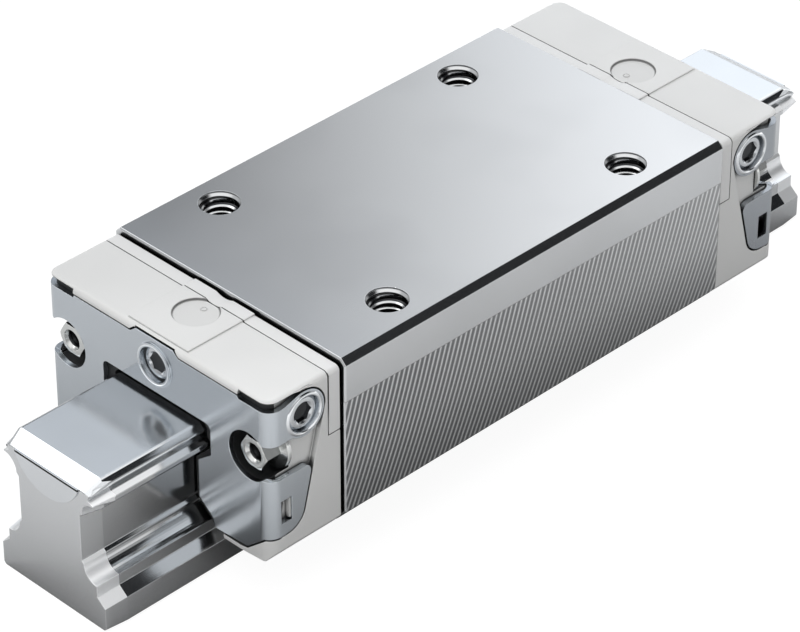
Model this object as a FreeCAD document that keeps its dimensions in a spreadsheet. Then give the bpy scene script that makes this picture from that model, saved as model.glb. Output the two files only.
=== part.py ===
import FreeCAD, Part
import Sketcher
import math
import os
import re

# Ball runner block, slim and long, on a section of its guide rail.
# X is the travel, Z is up, and the origin lies on the rail's base, in the middle of rail and block.
# Front is the -X end. Left and right are seen from the front, looking along the rail.

os.makedirs("parts", exist_ok=True)
doc = FreeCAD.newDocument("BallRunnerBlock")

SIZES = {
    # Guide rail
    "rail_length": 149.0,
    "rail_width": 23.0,
    "rail_height": 24.25,
    "foot_chamfer": 0.4,
    "foot_drop": 3.25,
    "foot_slope_rise": 1.35,
    "web_relief": 0.45,
    "lip_face": 0.8,
    "notch_depth": 1.1,
    "notch_rise": 0.6,
    "head_inset": 0.75,
    "head_bevel": 0.65,
    "head_corner_drop": 0.85,
    "lead_length": 2.3,
    "lead_depth": 0.45,
    "lead_drop": 1.45,
    "lip_share": 0.1,
    "notch_share": 0.15,
    "corner_share": 0.6,
    "rail_hole_spacing": 60.0,
    "rail_hole_radius": 3.5,
    "rail_counterbore_radius": 5.5,
    "rail_counterbore_depth": 9.0,
    # Cover strip
    "strip_thickness": 0.2,
    "strip_gap": 0.03,
    "strip_hem": 0.1,
    "tab_inset": 1.8,
    "tab_depth": 4.6,
    "tab_thickness": 0.3,
    # Ball tracks
    "track_drop": 10.05,
    "track_gap": 0.119,
    "ball_radius": 2.381,
    "groove_half": 1.8,
    "ball_side": 9.85,
    "ball_rise": 4.0,
    "row_inset": 0.9,
    # Steel body
    "block_width": 48.0,
    "block_rise": 11.75,
    "steel_length": 79.5,
    "end_length": 14.2,
    "leg_drop": 1.7,
    "top_chamfer": 1.0,
    "leg_chamfer": 0.8,
    "end_chamfer": 0.5,
    "reference_band": 7.3,
    "flank_relief": 0.12,
    "head_gap": 1.45,
    "cavity_reach": 2.9,
    "cavity_corner": 1.0,
    "thread_spacing_long": 50.0,
    "thread_edge": 6.5,
    "thread_radius": 3.0,
    "thread_depth": 9.0,
    "thread_countersink": 0.8,
    "hole_spare": 1.0,
    # Track inserts, ball guides, return tubes and side seals
    "insert_half": 1.6,
    "insert_back": 3.9,
    "insert_gap": 0.05,
    "guide_clearance": 0.5,
    "guide_edge": 0.2,
    "guide_drop": 1.1,
    "guide_reach": 3.3,
    "return_inset": 6.0,
    "return_lift_upper": 0.8,
    "return_lift_lower": 2.0,
    "tube_wall": 0.3,
    "tube_play": 0.069,
    "tube_gap": 0.05,
    "seal_step": 0.9,
    "seal_gap": 0.35,
    "seal_drop": 4.1,
    "seal_inset": 1.6,
    "seal_root_gap": 0.1,
    "seal_bend": 1.0,
    "seal_bend_rise": 0.35,
    # Ball turns
    "spool_rim": 2.9,
    "spool_gap": 0.25,
    # End caps and base plates
    "end_gap": 0.4,
    "base_thickness": 2.25,
    "seam": 0.1,
    "cap_inset": 0.6,
    "cap_drop": 0.8,
    "cap_hang": 3.9,
    "cap_edge": 0.9,
    "kink_rise": 0.4,
    "kink_inset": 1.4,
    "kink_lift": 0.9,
    "belly_inset": 6.5,
    "belly_lift": 0.5,
    "base_lift": 0.8,
    "skirt_drop": 11.7,
    "base_skirt_wall": 1.5,
    "pad_half": 6.25,
    "pad_rise": 0.3,
    "dimple_radius": 3.5,
    "dimple_inset": 8.15,
    "dimple_depth": 0.4,
    "pip_radius": 0.45,
    "pip_place": 1.5,
    "vent_half": 1.75,
    "vent_depth": 0.4,
    # Scraper plate
    "plate_thickness": 0.9,
    "plate_bend": 2.1,
    "plate_drop": 2.15,
    "tongue_drop": 1.23,
    "corner_drop": 2.6,
    "plate_hang": 2.45,
    "lug_rise": 1.2,
    "heel_inset": 5.95,
    "lug_notch": 3.1,
    "lug_reach": 8.4,
    "lug_hang": 3.05,
    "plate_gap": 0.12,
    "ring_radius": 3.85,
    "slot_length": 2.0,
    "slot_height": 4.0,
    "slot_inset": 3.2,
    "slot_lift": 4.1,
    "window_gap": 1.4,
    "window_foot": 0.5,
    "window_edge": 0.1,
    "window_lip_rise": 1.6,
    "window_web": 0.3,
    "window_lip_drop": 0.3,
    "window_corner": 1.0,
    "tongue_half": 3.9,
    "tongue_root": 5.0,
    "corner_inset": 6.3,
    "corner_slope": 0.2,
    "bottom_inset": 5.0,
    "bottom_step": 0.35,
    "flare_inset": 1.5,
    "flare_drop": 0.3,
    "bend_run": 1.0,
    "lug_round": 3.4,
    "lug_tip_round": 1.3,
    "lug_crest": 1.15,
    "collar_radius": 3.5,
    "collar_rise": 0.35,
    # Screws and ports
    "screw_inset": 4.25,
    "screw_drop": 11.5,
    "screw_pocket_radius": 4.0,
    "screw_pocket_depth": 4.6,
    "hex_radius": 2.5,
    "hex_inset": 0.95,
    "flange_radius": 3.4,
    "flange_thickness": 0.8,
    "shank_radius": 2.0,
    "shank_depth": 7.0,
    "shank_fit": 0.02,
    "screw_play": 0.15,
    "head_bore_radius": 1.35,
    "head_bore_depth": 5.0,
    "port_lift": 4.75,
    "port_inset": 6.9,
    "port_radius": 2.8,
    "port_gap": 0.05,
    "port_depth": 5.0,
    "side_port_sink": 0.3,
    "centre_port_sink": 0.5,
    "socket_radius": 1.7,
    "socket_depth": 2.2,
    # End seal
    "rubber_thickness": 1.2,
    "rubber_gap": 0.3,
    "rubber_reach": 1.45,
    "rubber_top_reach": 1.25,
    "rubber_play": 0.35,
    "rubber_top_play": 0.15,
    "rubber_back_gap": 0.05,
    "rubber_hang": 0.3,
    "strip_corner_drop": 0.6,
    # How far a cutter runs past the face that it opens
    "past": 1.0,
}

sheet = doc.addObject("Spreadsheet::Sheet", "Sizes")
for row, (alias, size) in enumerate(SIZES.items(), 1):
    sheet.set(f"A{row}", alias)
    sheet.set(f"B{row}", str(size))
    sheet.setAlias(f"B{row}", alias)
doc.recompute()

# Places that follow from the driving dimensions.
PLACES = {
    "diagonal": "sqrt(1 / 2)",
    "track_radius": "ball_radius + track_gap",
    "track_middle": "rail_height - track_drop",
    "low_ball": "track_middle - ball_rise",
    "high_ball": "track_middle + ball_rise",
    "low_return": "low_ball + return_lift_lower",
    "high_return": "high_ball + return_lift_upper",
    "return_side": "block_width / 2 - return_inset",
    "groove_sink": "sqrt(track_radius ^ 2 - groove_half ^ 2) * diagonal",
    "groove_reach": "groove_half * diagonal",
    "shoulder": "ball_side - groove_sink + groove_reach",
    "groove_root": "ball_side - groove_sink - groove_reach",
    "low_lip": "low_ball - groove_sink - groove_reach",
    "low_root": "low_ball - groove_sink + groove_reach",
    "high_lip": "high_ball + groove_sink + groove_reach",
    "high_root": "high_ball + groove_sink - groove_reach",
    "lip_top": "high_lip + lip_face",
    "foot_height": "low_lip - foot_drop",
    "web_half": "groove_root - web_relief",
    "notch_half": "shoulder - notch_depth",
    "head_side_half": "shoulder - head_inset",
    "head_flat_half": "head_side_half - head_bevel",
    "rail_end": "rail_length / 2",
    "rail_top": "rail_height + strip_thickness",
    "tab_half": "head_flat_half - tab_inset",
    "block_top": "rail_height + block_rise",
    "steel_end": "steel_length / 2",
    "block_end": "steel_end + end_length",
    "leg_bottom": "low_ball - leg_drop",
    "cavity_top": "rail_height + head_gap",
    "cavity_half": "ball_side + cavity_reach",
    "thread_side": "block_width / 2 - thread_edge",
    "tube_radius": "ball_radius + tube_play + tube_wall",
    "guide_top": "cavity_top - guide_drop",
    "guide_bottom": "low_ball - guide_reach",
    "seal_lip_half": "shoulder + seal_gap",
    "seal_bottom": "low_ball - seal_drop",
    "seal_outer": "block_width / 2 - seal_inset",
    "base_rear": "steel_end + end_gap",
    "base_front": "base_rear + base_thickness",
    "cap_half": "block_width / 2 - cap_inset",
    "cap_top": "block_top - cap_drop",
    "cap_bottom": "low_ball - cap_hang",
    "base_skirt_top": "block_top - skirt_drop",
    "dimple_place": "block_end - dimple_inset",
    "plate_top": "block_top - plate_drop",
    "plate_centre_top": "block_top - tongue_drop",
    "plate_corner_top": "block_top - corner_drop",
    "plate_bottom": "low_ball - plate_hang",
    "port_rise": "cavity_top + port_lift",
    "port_place": "block_end - port_inset",
    "screw_side": "cap_half - screw_inset",
    "screw_rise": "block_top - screw_drop",
    "hex_place": "block_end - hex_inset",
    "lug_bottom": "low_ball + lug_rise",
    "lug_heel": "block_end - heel_inset",
    "lower_lug_top": "screw_rise - lug_notch",
    "lower_lug_back": "block_end - lug_reach",
    "upper_lug_bottom": "port_rise - lug_hang",
    "slot_place": "block_end - slot_inset",
    "slot_rise": "lug_bottom + slot_lift",
}


def spelled_out(expression):
    """Writes out each derived place until only the sheet's sizes are left."""
    def place(found):
        word = found.group()
        return f"({PLACES[word]})" if word in PLACES else word
    longer = re.sub(r"[a-z_]+", place, expression)
    return longer if longer == expression else spelled_out(longer)


def value(expression):
    """Reads an expression of the sheet's sizes as a number."""
    return float(sheet.evalExpression(spelled_out(expression)))


def linked(expression):
    """Writes each size's name as a reference to the sheet."""
    def reference(found):
        word = found.group()
        return "Sizes." + word if word in SIZES else word
    return re.sub(r"[a-z_]+", reference, spelled_out(expression))


def minus(expression):
    return f"-({expression})"


def new_body(label):
    body = doc.addObject("PartDesign::Body", label)
    body.Label = label
    return body


def new_sketch(body, plane, offset="0"):
    """An empty sketch on one of the body's own origin planes."""
    drawing = body.newObject("Sketcher::SketchObject", body.Name + "_sketch")
    faces = [part for part in body.Origin.OriginFeatures if part.Role == plane]
    drawing.AttachmentSupport = [(faces[0], "")]
    drawing.MapMode = "FlatFace"
    drawing.setExpression("AttachmentOffset.Base.z", linked(offset))
    return drawing


def pin(drawing, geometry, point, across, up):
    """Ties one point of the sketch to its place from the origin."""
    for kind, place, axis in (("DistanceX", across, -2), ("DistanceY", up, -1)):
        if abs(value(place)) < 1e-9:
            drawing.addConstraint(Sketcher.Constraint("PointOnObject", geometry, point, axis))
            continue
        rule = Sketcher.Constraint(kind, -1, 1, geometry, point, value(place))
        index = drawing.addConstraint(rule)
        drawing.setExpression(f"Constraints[{index}]", linked(place))


def set_radius(drawing, geometry, radius):
    index = drawing.addConstraint(Sketcher.Constraint("Radius", geometry, value(radius)))
    drawing.setExpression(f"Constraints[{index}]", linked(radius))


def circle(drawing, across, up, radius):
    centre = FreeCAD.Vector(value(across), value(up), 0)
    ring = Part.Circle(centre, FreeCAD.Vector(0, 0, 1), value(radius))
    geometry = drawing.addGeometry(ring, False)
    pin(drawing, geometry, 3, across, up)
    set_radius(drawing, geometry, radius)


def unit(start, end):
    step = end - start
    return step * (1 / step.Length)


def arc(start, middle, end):
    """An arc through three places, drawn anticlockwise as the sketcher keeps it."""
    if (middle - start).cross(end - start).z < 0:
        start, end = end, start
    return Part.Arc(start, middle, end)


def outline(drawing, corners):
    """Draws a closed outline. A corner is (across, up), with "round" and a radius for a rounded
    corner, or with "left" or "right" and a radius where an arc leaves it, by the arc's centre."""
    count = len(corners)
    places = [FreeCAD.Vector(value(corner[0]), value(corner[1]), 0) for corner in corners]
    kinds = [corner[2] if len(corner) > 2 else "" for corner in corners]
    arrive = list(places)
    leave = list(places)
    bends = {}
    for index in range(count):
        if kinds[index] != "round":
            continue
        here = places[index]
        back = unit(here, places[index - 1])
        ahead = unit(here, places[(index + 1) % count])
        half = math.acos(max(-1.0, min(1.0, back.dot(ahead)))) / 2
        radius = value(corners[index][3])
        arrive[index] = here + back * (radius / math.tan(half))
        leave[index] = here + ahead * (radius / math.tan(half))
        middle = here + unit(here, here + back + ahead) * (radius / math.sin(half) - radius)
        bends[index] = arc(arrive[index], middle, leave[index])
    edges = []
    for index in range(count):
        start = leave[index]
        end = arrive[(index + 1) % count]
        if kinds[index] in ("left", "right"):
            chord = end - start
            side = FreeCAD.Vector(-chord.y, chord.x, 0) * (1 / chord.Length)
            if kinds[index] == "right":
                side = side * -1
            radius = value(corners[index][3])
            height = math.sqrt(radius ** 2 - chord.Length ** 2 / 4)
            middle = (start + end) * 0.5 + side * (height - radius)
            edges.append(drawing.addGeometry(arc(start, middle, end), False))
        else:
            edges.append(drawing.addGeometry(Part.LineSegment(start, end), False))
    marks = []
    for index in range(count):
        marks.append(drawing.addGeometry(Part.Point(places[index]), True))
        pin(drawing, marks[index], 1, corners[index][0], corners[index][1])
    for index in range(count):
        before = edges[index - 1]
        after = edges[index]
        before_end = end_point(drawing, before, arrive[index])
        after_start = end_point(drawing, after, leave[index])
        if index in bends:
            bend = drawing.addGeometry(bends[index], False)
            set_radius(drawing, bend, corners[index][3])
            near = end_point(drawing, bend, arrive[index])
            far = end_point(drawing, bend, leave[index])
            drawing.addConstraint(Sketcher.Constraint("Tangent", before, before_end, bend, near))
            drawing.addConstraint(Sketcher.Constraint("Tangent", bend, far, after, after_start))
            drawing.addConstraint(Sketcher.Constraint("PointOnObject", marks[index], 1, before))
            drawing.addConstraint(Sketcher.Constraint("PointOnObject", marks[index], 1, after))
        else:
            drawing.addConstraint(Sketcher.Constraint("Coincident", before, before_end, marks[index], 1))
            drawing.addConstraint(Sketcher.Constraint("Coincident", after, after_start, marks[index], 1))
    for index in range(count):
        if kinds[index] in ("left", "right"):
            set_radius(drawing, edges[index], corners[index][3])


def end_point(drawing, geometry, place):
    """Names the end of a line or arc that lies at a place: 1 is its start, 2 its end."""
    curve = drawing.Geometry[geometry]
    return 1 if (curve.StartPoint - place).Length < (curve.EndPoint - place).Length else 2


def both_sides(half):
    """Adds the mirror image, about the middle, of one side's corners."""
    other = []
    swap = {"left": "right", "right": "left"}
    for index in range(len(half) - 1, -1, -1):
        corner = half[index]
        entry = [minus(corner[0]), corner[1]]
        if len(corner) > 2 and corner[2] == "round":
            entry += [corner[2], corner[3]]
        if index > 0 and len(half[index - 1]) > 2 and half[index - 1][2] in swap:
            entry += [half[index - 1][2], half[index - 1][3]]
        other.append(tuple(entry))
    return list(half) + other


def pad(body, drawing, length, symmetric=False, backwards=False):
    feature = body.newObject("PartDesign::Pad", body.Name + "_pad")
    feature.Profile = (drawing, [""])
    feature.SideType = "Symmetric" if symmetric else "One side"
    feature.Reversed = backwards
    feature.setExpression("Length", linked(length))
    return feature


def pocket(body, drawing, length=None, backwards=False):
    """Cuts to a length along the sketch's back, or right through both ways."""
    feature = body.newObject("PartDesign::Pocket", body.Name + "_pocket")
    feature.Profile = (drawing, [""])
    feature.Reversed = backwards
    if length is None:
        feature.SideType = "Symmetric"
        feature.Type = "ThroughAll"
    else:
        feature.setExpression("Length", linked(length))
    return feature


def prism(label, plane, corners, start, length):
    """A body padded from one outline, from a start along the plane's normal."""
    body = new_body(label)
    drawing = new_sketch(body, plane, start)
    outline(drawing, corners)
    pad(body, drawing, length)
    return body


def cylinder(label, radius, height, base, axis):
    """A plain round bar whose base's coordinates are expressions."""
    bar = doc.addObject("Part::Cylinder", label)
    bar.setExpression("Radius", linked(radius))
    bar.setExpression("Height", linked(height))
    bar.Placement = FreeCAD.Placement(FreeCAD.Vector(), FreeCAD.Rotation(FreeCAD.Vector(0, 0, 1), axis))
    for name, place in zip("xyz", base):
        bar.setExpression(f"Placement.Base.{name}", linked(place))
    return bar


def combine(kind, label, shapes):
    """Fuses or intersects several objects."""
    result = doc.addObject(kind, label)
    result.Shapes = shapes
    result.Label = label
    return result


def cut(label, base, tool):
    result = doc.addObject("Part::Cut", label)
    result.Base = base
    result.Tool = tool
    result.Label = label
    return result


def mirror(label, source, normal):
    """The mirror image of an object about a plane through the origin."""
    result = doc.addObject("Part::Mirroring", label)
    result.Source = source
    result.Normal = normal
    result.Label = label
    return result


ALONG = FreeCAD.Vector(1, 0, 0)
ACROSS = FreeCAD.Vector(0, 1, 0)
UP = FreeCAD.Vector(0, 0, 1)


def rail_side(depth, drop):
    """Right side of the rail's section from the foot up, ground smaller by a depth and lowered
    by a drop at the lead-in."""
    half = f"rail_width / 2 - {depth}"
    shoulder = f"shoulder - {depth}"
    root = f"groove_root - {depth}"
    return [
        (f"{half} - foot_chamfer", "0"),
        (half, "foot_chamfer"),
        (half, f"foot_height - {depth}"),
        (shoulder, f"foot_height + foot_slope_rise - {depth}"),
        (shoulder, f"low_lip - {depth}", "right", "track_radius"),
        (root, f"low_root - {depth}"),
        (f"web_half - {depth}", f"low_root + web_relief - {depth}"),
        (f"web_half - {depth}", f"high_root - web_relief + {depth}"),
        (root, f"high_root + {depth}", "right", "track_radius"),
        (shoulder, f"high_lip + {depth}"),
        (shoulder, f"lip_top - lip_share * {drop}"),
        (f"notch_half - {depth}", f"lip_top + notch_rise - notch_share * {drop}"),
        (f"head_side_half - {depth}", f"rail_height - head_corner_drop - corner_share * {drop}"),
        (f"head_flat_half - {depth}", f"rail_height - {drop}"),
    ]


def strip_section(depth, drop):
    """Section of the cover strip, outside and inside, over the head's top and corners."""
    notch = f"lip_top + notch_rise - notch_share * {drop}"
    corner = f"rail_height - head_corner_drop - corner_share * {drop}"
    side = [
        (f"notch_half + strip_gap - {depth}", f"{notch} + strip_hem"),
        (f"notch_half + strip_gap + strip_thickness - {depth}", f"{notch} + strip_hem / 2"),
        (f"head_side_half + strip_gap + strip_thickness - {depth}", f"{corner} + strip_hem / 2"),
        (f"head_flat_half + strip_hem / 2 - {depth}", f"rail_height + strip_thickness - {drop}"),
    ]
    outer = both_sides(side[1:])
    inner = both_sides([
        side[0],
        (f"head_side_half + strip_gap - {depth}", corner),
        (f"head_flat_half - {depth}", f"rail_height - {drop}"),
    ])
    return outer + inner[::-1]


def lead_ins(body, section, end, length):
    """Lofts both ends of a bar down to the smaller lead-in section."""
    for sign in ("", "-"):
        near = new_sketch(body, "YZ_Plane", f"{sign}({end} - {length})")
        outline(near, section("0", "0"))
        far = new_sketch(body, "YZ_Plane", f"{sign}({end})")
        outline(far, section("lead_depth", "lead_drop"))
        loft = body.newObject("PartDesign::AdditiveLoft", body.Name + "_lead_in")
        loft.Profile = (near, [""])
        loft.Sections = [(far, [""])]
        loft.Ruled = True


def guide_rail():
    """Hardened rail, ground all over, with counterbored holes that the strip covers."""
    body = new_body("guide_rail")
    section = new_sketch(body, "YZ_Plane")
    outline(section, both_sides(rail_side("0", "0")))
    pad(body, section, "rail_length - 2 * lead_length", symmetric=True)
    lead_ins(body, lambda depth, drop: both_sides(rail_side(depth, drop)), "rail_end", "lead_length")
    bores = new_sketch(body, "XY_Plane", "rail_height")
    sinks = new_sketch(body, "XY_Plane", "rail_height")
    for place in ("rail_hole_spacing / 2", "-rail_hole_spacing / 2"):
        circle(bores, place, "0", "rail_hole_radius")
        circle(sinks, place, "0", "rail_counterbore_radius")
    pocket(body, bores)
    pocket(body, sinks, "rail_counterbore_depth")
    return body


def cover_strip():
    """Spring-steel strip clipped over the rail's head, with a rounded tab down each end face."""
    body = new_body("cover_strip")
    section = new_sketch(body, "YZ_Plane")
    outline(section, strip_section("0", "0"))
    pad(body, section, "rail_length - 2 * lead_length", symmetric=True)
    lead_ins(body, strip_section, "rail_end", "lead_length")
    top = "rail_height - lead_drop + strip_thickness"
    low = f"({top}) - strip_thickness - strip_hem"
    radius = "((tab_half ^ 2 + tab_depth ^ 2) / 2 / tab_depth)"
    side = "right" if value("tab_depth") > value("tab_half") else "left"
    for backwards in (False, True):
        sign = "-" if backwards else ""
        tab = new_sketch(body, "YZ_Plane", f"{sign}rail_end")
        outline(tab, [
            ("-tab_half", low, side, radius),
            ("tab_half", low),
            ("tab_half", top),
            ("-tab_half", top),
        ])
        pad(body, tab, "tab_thickness", backwards=backwards)
    return body


def edge_is_outer(box):
    """Tells the outline of the steel's end faces from the edges of the hollow and the long edges."""
    top = box.ZMin > value("block_top") - 0.01
    side = abs(box.YMin + box.YMax) / 2 > value("block_width / 2 - top_chamfer - leg_chamfer")
    square = box.XMax - box.XMin < 1e-6
    return square and (top or side)


def steel_body():
    """Block body: ground on top and along the reference band, milled flanks, tapped holes."""
    body = new_body("steel_body")
    half = "block_width / 2"
    band = "block_top - reference_band"
    back = "(insert_back * diagonal)"
    wide = "((insert_half + insert_gap) * diagonal)"
    pocket_side = f"ball_side + {back} + {wide}"
    step = f"({pocket_side} - cavity_half)"
    tip = f"ball_side + {back} - (ball_rise - {back})"
    section = new_sketch(body, "YZ_Plane")
    outline(section, both_sides([
        ("cavity_half", "leg_bottom"),
        (f"{half} - flank_relief - leg_chamfer", "leg_bottom"),
        (f"{half} - flank_relief", "leg_bottom + leg_chamfer"),
        (f"{half} - flank_relief", band),
        (half, f"{band} + flank_relief"),
        (half, "block_top - top_chamfer"),
        (f"{half} - top_chamfer", "block_top"),
    ]) + both_sides([
        ("cavity_half", "leg_bottom"),
        ("cavity_half", f"low_ball + {back} - {wide} - {step}"),
        (pocket_side, f"low_ball + {back} - {wide}"),
        (tip, "track_middle"),
        (pocket_side, f"high_ball - {back} + {wide}"),
        ("cavity_half", f"high_ball - {back} + {wide} + {step}"),
        ("cavity_half", "cavity_top", "round", "cavity_corner"),
    ])[1:-1][::-1])
    block = pad(body, section, "steel_length", symmetric=True)
    doc.recompute()
    rims = []
    for index, edge in enumerate(block.Shape.Edges, 1):
        if edge_is_outer(edge.BoundBox):
            rims.append(f"Edge{index}")
    bevel = body.newObject("PartDesign::Chamfer", "end_bevels")
    bevel.Base = (block, rims)
    bevel.setExpression("Size", linked("end_chamfer"))
    returns = new_sketch(body, "YZ_Plane")
    for side in ("", "-"):
        for rise in ("high_return", "low_return"):
            circle(returns, f"{side}return_side", rise, "tube_radius + tube_gap")
    pocket(body, returns)
    for sign, backwards in (("", False), ("-", True)):
        screws = new_sketch(body, "YZ_Plane", f"{sign}steel_end")
        circle(screws, "screw_side", "screw_rise", "shank_radius + shank_fit")
        circle(screws, "-screw_side", "screw_rise", "shank_radius + shank_fit")
        pocket(body, screws, "shank_depth + hole_spare", backwards=backwards)
    threads = new_sketch(body, "XY_Plane", "block_top")
    for along in ("thread_spacing_long / 2", "-thread_spacing_long / 2"):
        for across in ("thread_side", "-thread_side"):
            circle(threads, along, across, "thread_radius")
    last = pocket(body, threads, "thread_depth")
    doc.recompute()
    mouths = []
    for index, edge in enumerate(last.Shape.Edges, 1):
        box = edge.BoundBox
        on_top = box.ZMin > value("block_top") - 1e-6
        if on_top and not hasattr(edge.Curve, "Direction"):
            mouths.append(f"Edge{index}")
    bevel = body.newObject("PartDesign::Chamfer", "thread_countersinks")
    bevel.Base = (last, mouths)
    bevel.setExpression("Size", linked("thread_countersink"))
    return body


def track_insert(label, rise, turn):
    """Hardened track insert beside one row of balls; its groove faces the rail at 45 degrees."""
    body = new_body(label)
    drawing = new_sketch(body, "YZ_Plane")
    front = "sqrt(track_radius ^ 2 - insert_half ^ 2)"

    def corner(along, across, *bend):
        return (f"ball_side + ({along} + {across}) * diagonal",
                f"{rise} + {turn} * ({across} - {along}) * diagonal", *bend)

    side = "right" if turn == "1" else "left"
    outline(drawing, [
        corner(front, "insert_half", side, "track_radius"),
        corner(front, "(-insert_half)"),
        corner("insert_back", "(-insert_half)"),
        corner("insert_back", "insert_half"),
    ])
    pad(body, drawing, "steel_length", symmetric=True)
    return body


def ball_guide(label, rise, turn, end):
    """Plastic guide that fills the cavity beside a row of balls and holds them in."""
    body = new_body(label)
    drawing = new_sketch(body, "YZ_Plane")
    inner = "(shoulder + guide_clearance)"
    side = "right" if turn == "1" else "left"
    outline(drawing, [
        (inner, f"{rise} + {turn} * sqrt(track_radius ^ 2 - ({inner} - ball_side) ^ 2)",
         side, "track_radius"),
        ("ball_side + sqrt(track_radius ^ 2 - guide_edge ^ 2)", f"{rise} + {turn} * guide_edge"),
        ("cavity_half", f"{rise} + {turn} * guide_edge"),
        ("cavity_half", end),
        (inner, end),
    ])
    pad(body, drawing, "steel_length", symmetric=True)
    return body


def return_tube(label, rise):
    body = new_body(label)
    drawing = new_sketch(body, "YZ_Plane")
    circle(drawing, "return_side", rise, "tube_radius")
    circle(drawing, "return_side", rise, "tube_radius - tube_wall")
    pad(body, drawing, "steel_length", symmetric=True)
    return body


def side_seal(label):
    """Seal strip under the steel leg, with a lip that wipes the rail's side."""
    body = new_body(label)
    drawing = new_sketch(body, "YZ_Plane")
    outline(drawing, [
        ("cavity_half + seal_root_gap", "leg_bottom"),
        ("seal_outer", "leg_bottom"),
        ("seal_outer", "leg_bottom - seal_step"),
        ("cavity_half + seal_bend", "seal_bottom + seal_bend_rise"),
        ("seal_lip_half", "seal_bottom"),
        ("seal_lip_half", "guide_bottom - seal_root_gap"),
        ("cavity_half + seal_root_gap", "guide_bottom - seal_root_gap"),
    ])
    pad(body, drawing, "steel_length + 2 * end_gap", symmetric=True)
    return body


def ball_row(label, rise):
    """The balls that carry load between one rail track and its insert, drawn as one round bar of
    their size with bevelled ends."""
    body = new_body(label)
    drawing = new_sketch(body, "YZ_Plane")
    circle(drawing, "ball_side", rise, "ball_radius")
    bar = pad(body, drawing, "steel_length - 2 * row_inset", symmetric=True)
    doc.recompute()
    bevel = body.newObject("PartDesign::Chamfer", label + "_ends")
    bevel.Base = (bar, [f"Edge{index}" for index, edge in enumerate(bar.Shape.Edges, 1) if edge.isClosed()])
    bevel.setExpression("Size", linked("ball_radius / 2"))
    return body


def opening_side(gap, bottom, top):
    """Right side of an opening round the rail, from the bottom up."""
    return [
        (f"shoulder + {gap} + window_foot", bottom),
        (f"shoulder + {gap} + window_edge", "low_lip + window_lip_rise"),
        (f"web_half + {gap} + window_web", f"low_root + {gap}"),
        (f"web_half + {gap} + window_web", "high_root + window_edge"),
        (f"shoulder + {gap}", "high_lip - window_lip_drop"),
        (f"shoulder + {gap}", top, "round", "window_corner"),
    ]


TURNS = (("upper", "high_ball", "return_lift_upper"), ("lower", "low_ball", "return_lift_lower"))


def turn_reach(lift):
    """Half the way from a load track to its return tube."""
    return f"(sqrt((return_side - ball_side) ^ 2 + {lift} ^ 2) / 2)"


def place_turn(turn, rise, lift):
    """Tilts a ball turn between its load track and its return tube."""
    turn.Placement = FreeCAD.Placement(FreeCAD.Vector(), FreeCAD.Rotation(ALONG, 1))
    turn.setExpression("Placement.Base.x", linked("-base_rear"))
    turn.setExpression("Placement.Base.y", linked("(return_side + ball_side) / 2"))
    turn.setExpression("Placement.Base.z", linked(f"{rise} + {lift} / 2"))
    turn.setExpression("Placement.Rotation.Angle", linked(f"atan({lift} / (return_side - ball_side))"))


def half_turned(label, corners):
    """A body revolved half a turn about Z, on the -X side, from an outline in the XZ plane."""
    body = new_body(label)
    drawing = new_sketch(body, "XZ_Plane")
    outline(drawing, corners)
    turned = body.newObject("PartDesign::Revolution", label + "_turned")
    turned.Profile = (drawing, [""])
    turned.ReferenceAxis = (drawing, ["V_Axis"])
    turned.Angle = 180
    turned.Midplane = True
    return body


def ball_channels():
    """Half-round pockets in which the balls turn round, on both sides."""
    channels = []
    for name, rise, lift in TURNS:
        label = name + "_channel"
        outer = f"-({turn_reach(lift)} + track_radius)"
        channel = half_turned(label, [
            ("0", "-track_radius"),
            (outer, "-track_radius"),
            (outer, "track_radius"),
            ("0", "track_radius"),
        ])
        place_turn(channel, rise, lift)
        channels += [channel, mirror(label + "_left", channel, ACROSS)]
    return channels


def ball_deflectors(label):
    """Inner guides of the four ball turns: half spools between load track and return tube."""
    spools = []
    for name, rise, lift in TURNS:
        side = "track_radius - spool_gap"
        spool = half_turned(f"{label}_{name}", [
            ("0", minus(side)),
            ("-spool_rim", minus(side)),
            (f"-({turn_reach(lift)} - ball_radius / diagonal)", "0"),
            ("-spool_rim", side),
            ("0", side),
        ])
        place_turn(spool, rise, lift)
        spools += [spool, mirror(f"{label}_{name}_left", spool, ACROSS)]
    group = doc.addObject("Part::Compound", label)
    group.Links = spools
    group.Label = label
    return group


def screw_holes(label, radius, start, length):
    """Two round cuts along X on the flange screws' axes."""
    first = cylinder(label, radius, length, (start, "screw_side", "screw_rise"), ALONG)
    return [first, mirror(label + "_left", first, ACROSS)]


def raised_pad(body, start, end):
    drawing = new_sketch(body, "XY_Plane", "cap_top")
    outline(drawing, [
        (minus(start), "-pad_half"),
        (minus(end), "-pad_half"),
        (minus(end), "pad_half"),
        (minus(start), "pad_half"),
    ])
    pad(body, drawing, "pad_rise")


def base_plate(label, channels):
    """Moulded plate between steel body and end cap, with the ball channels' first half."""
    body = new_body(label + "_moulding")
    drawing = new_sketch(body, "YZ_Plane", "-base_rear")
    low = "cap_bottom + base_lift"
    opening = opening_side("window_gap", low, "cavity_top")
    outer = [
        opening[0],
        ("cap_half - base_skirt_wall", low),
        ("cap_half - base_skirt_wall", "base_skirt_top"),
        ("cap_half", "base_skirt_top"),
        ("cap_half", "cap_top", "round", "cap_edge"),
    ]
    outline(drawing, both_sides(outer) + both_sides(opening)[1:-1][::-1])
    pad(body, drawing, "base_thickness", backwards=True)
    raised_pad(body, "base_front", "base_rear")
    vent = new_sketch(body, "YZ_Plane")
    curve = "((vent_half ^ 2 + vent_depth ^ 2) / 2 / vent_depth)"
    circle(vent, "0", f"cap_top + pad_rise - vent_depth + {curve}", curve)
    pocket(body, vent)
    holes = screw_holes(label + "_screw_hole", "shank_radius + screw_play", minus("block_end"), "block_end")
    tool = combine("Part::MultiFuse", label + "_cuts", channels + holes)
    return cut(label, body, tool)


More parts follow.
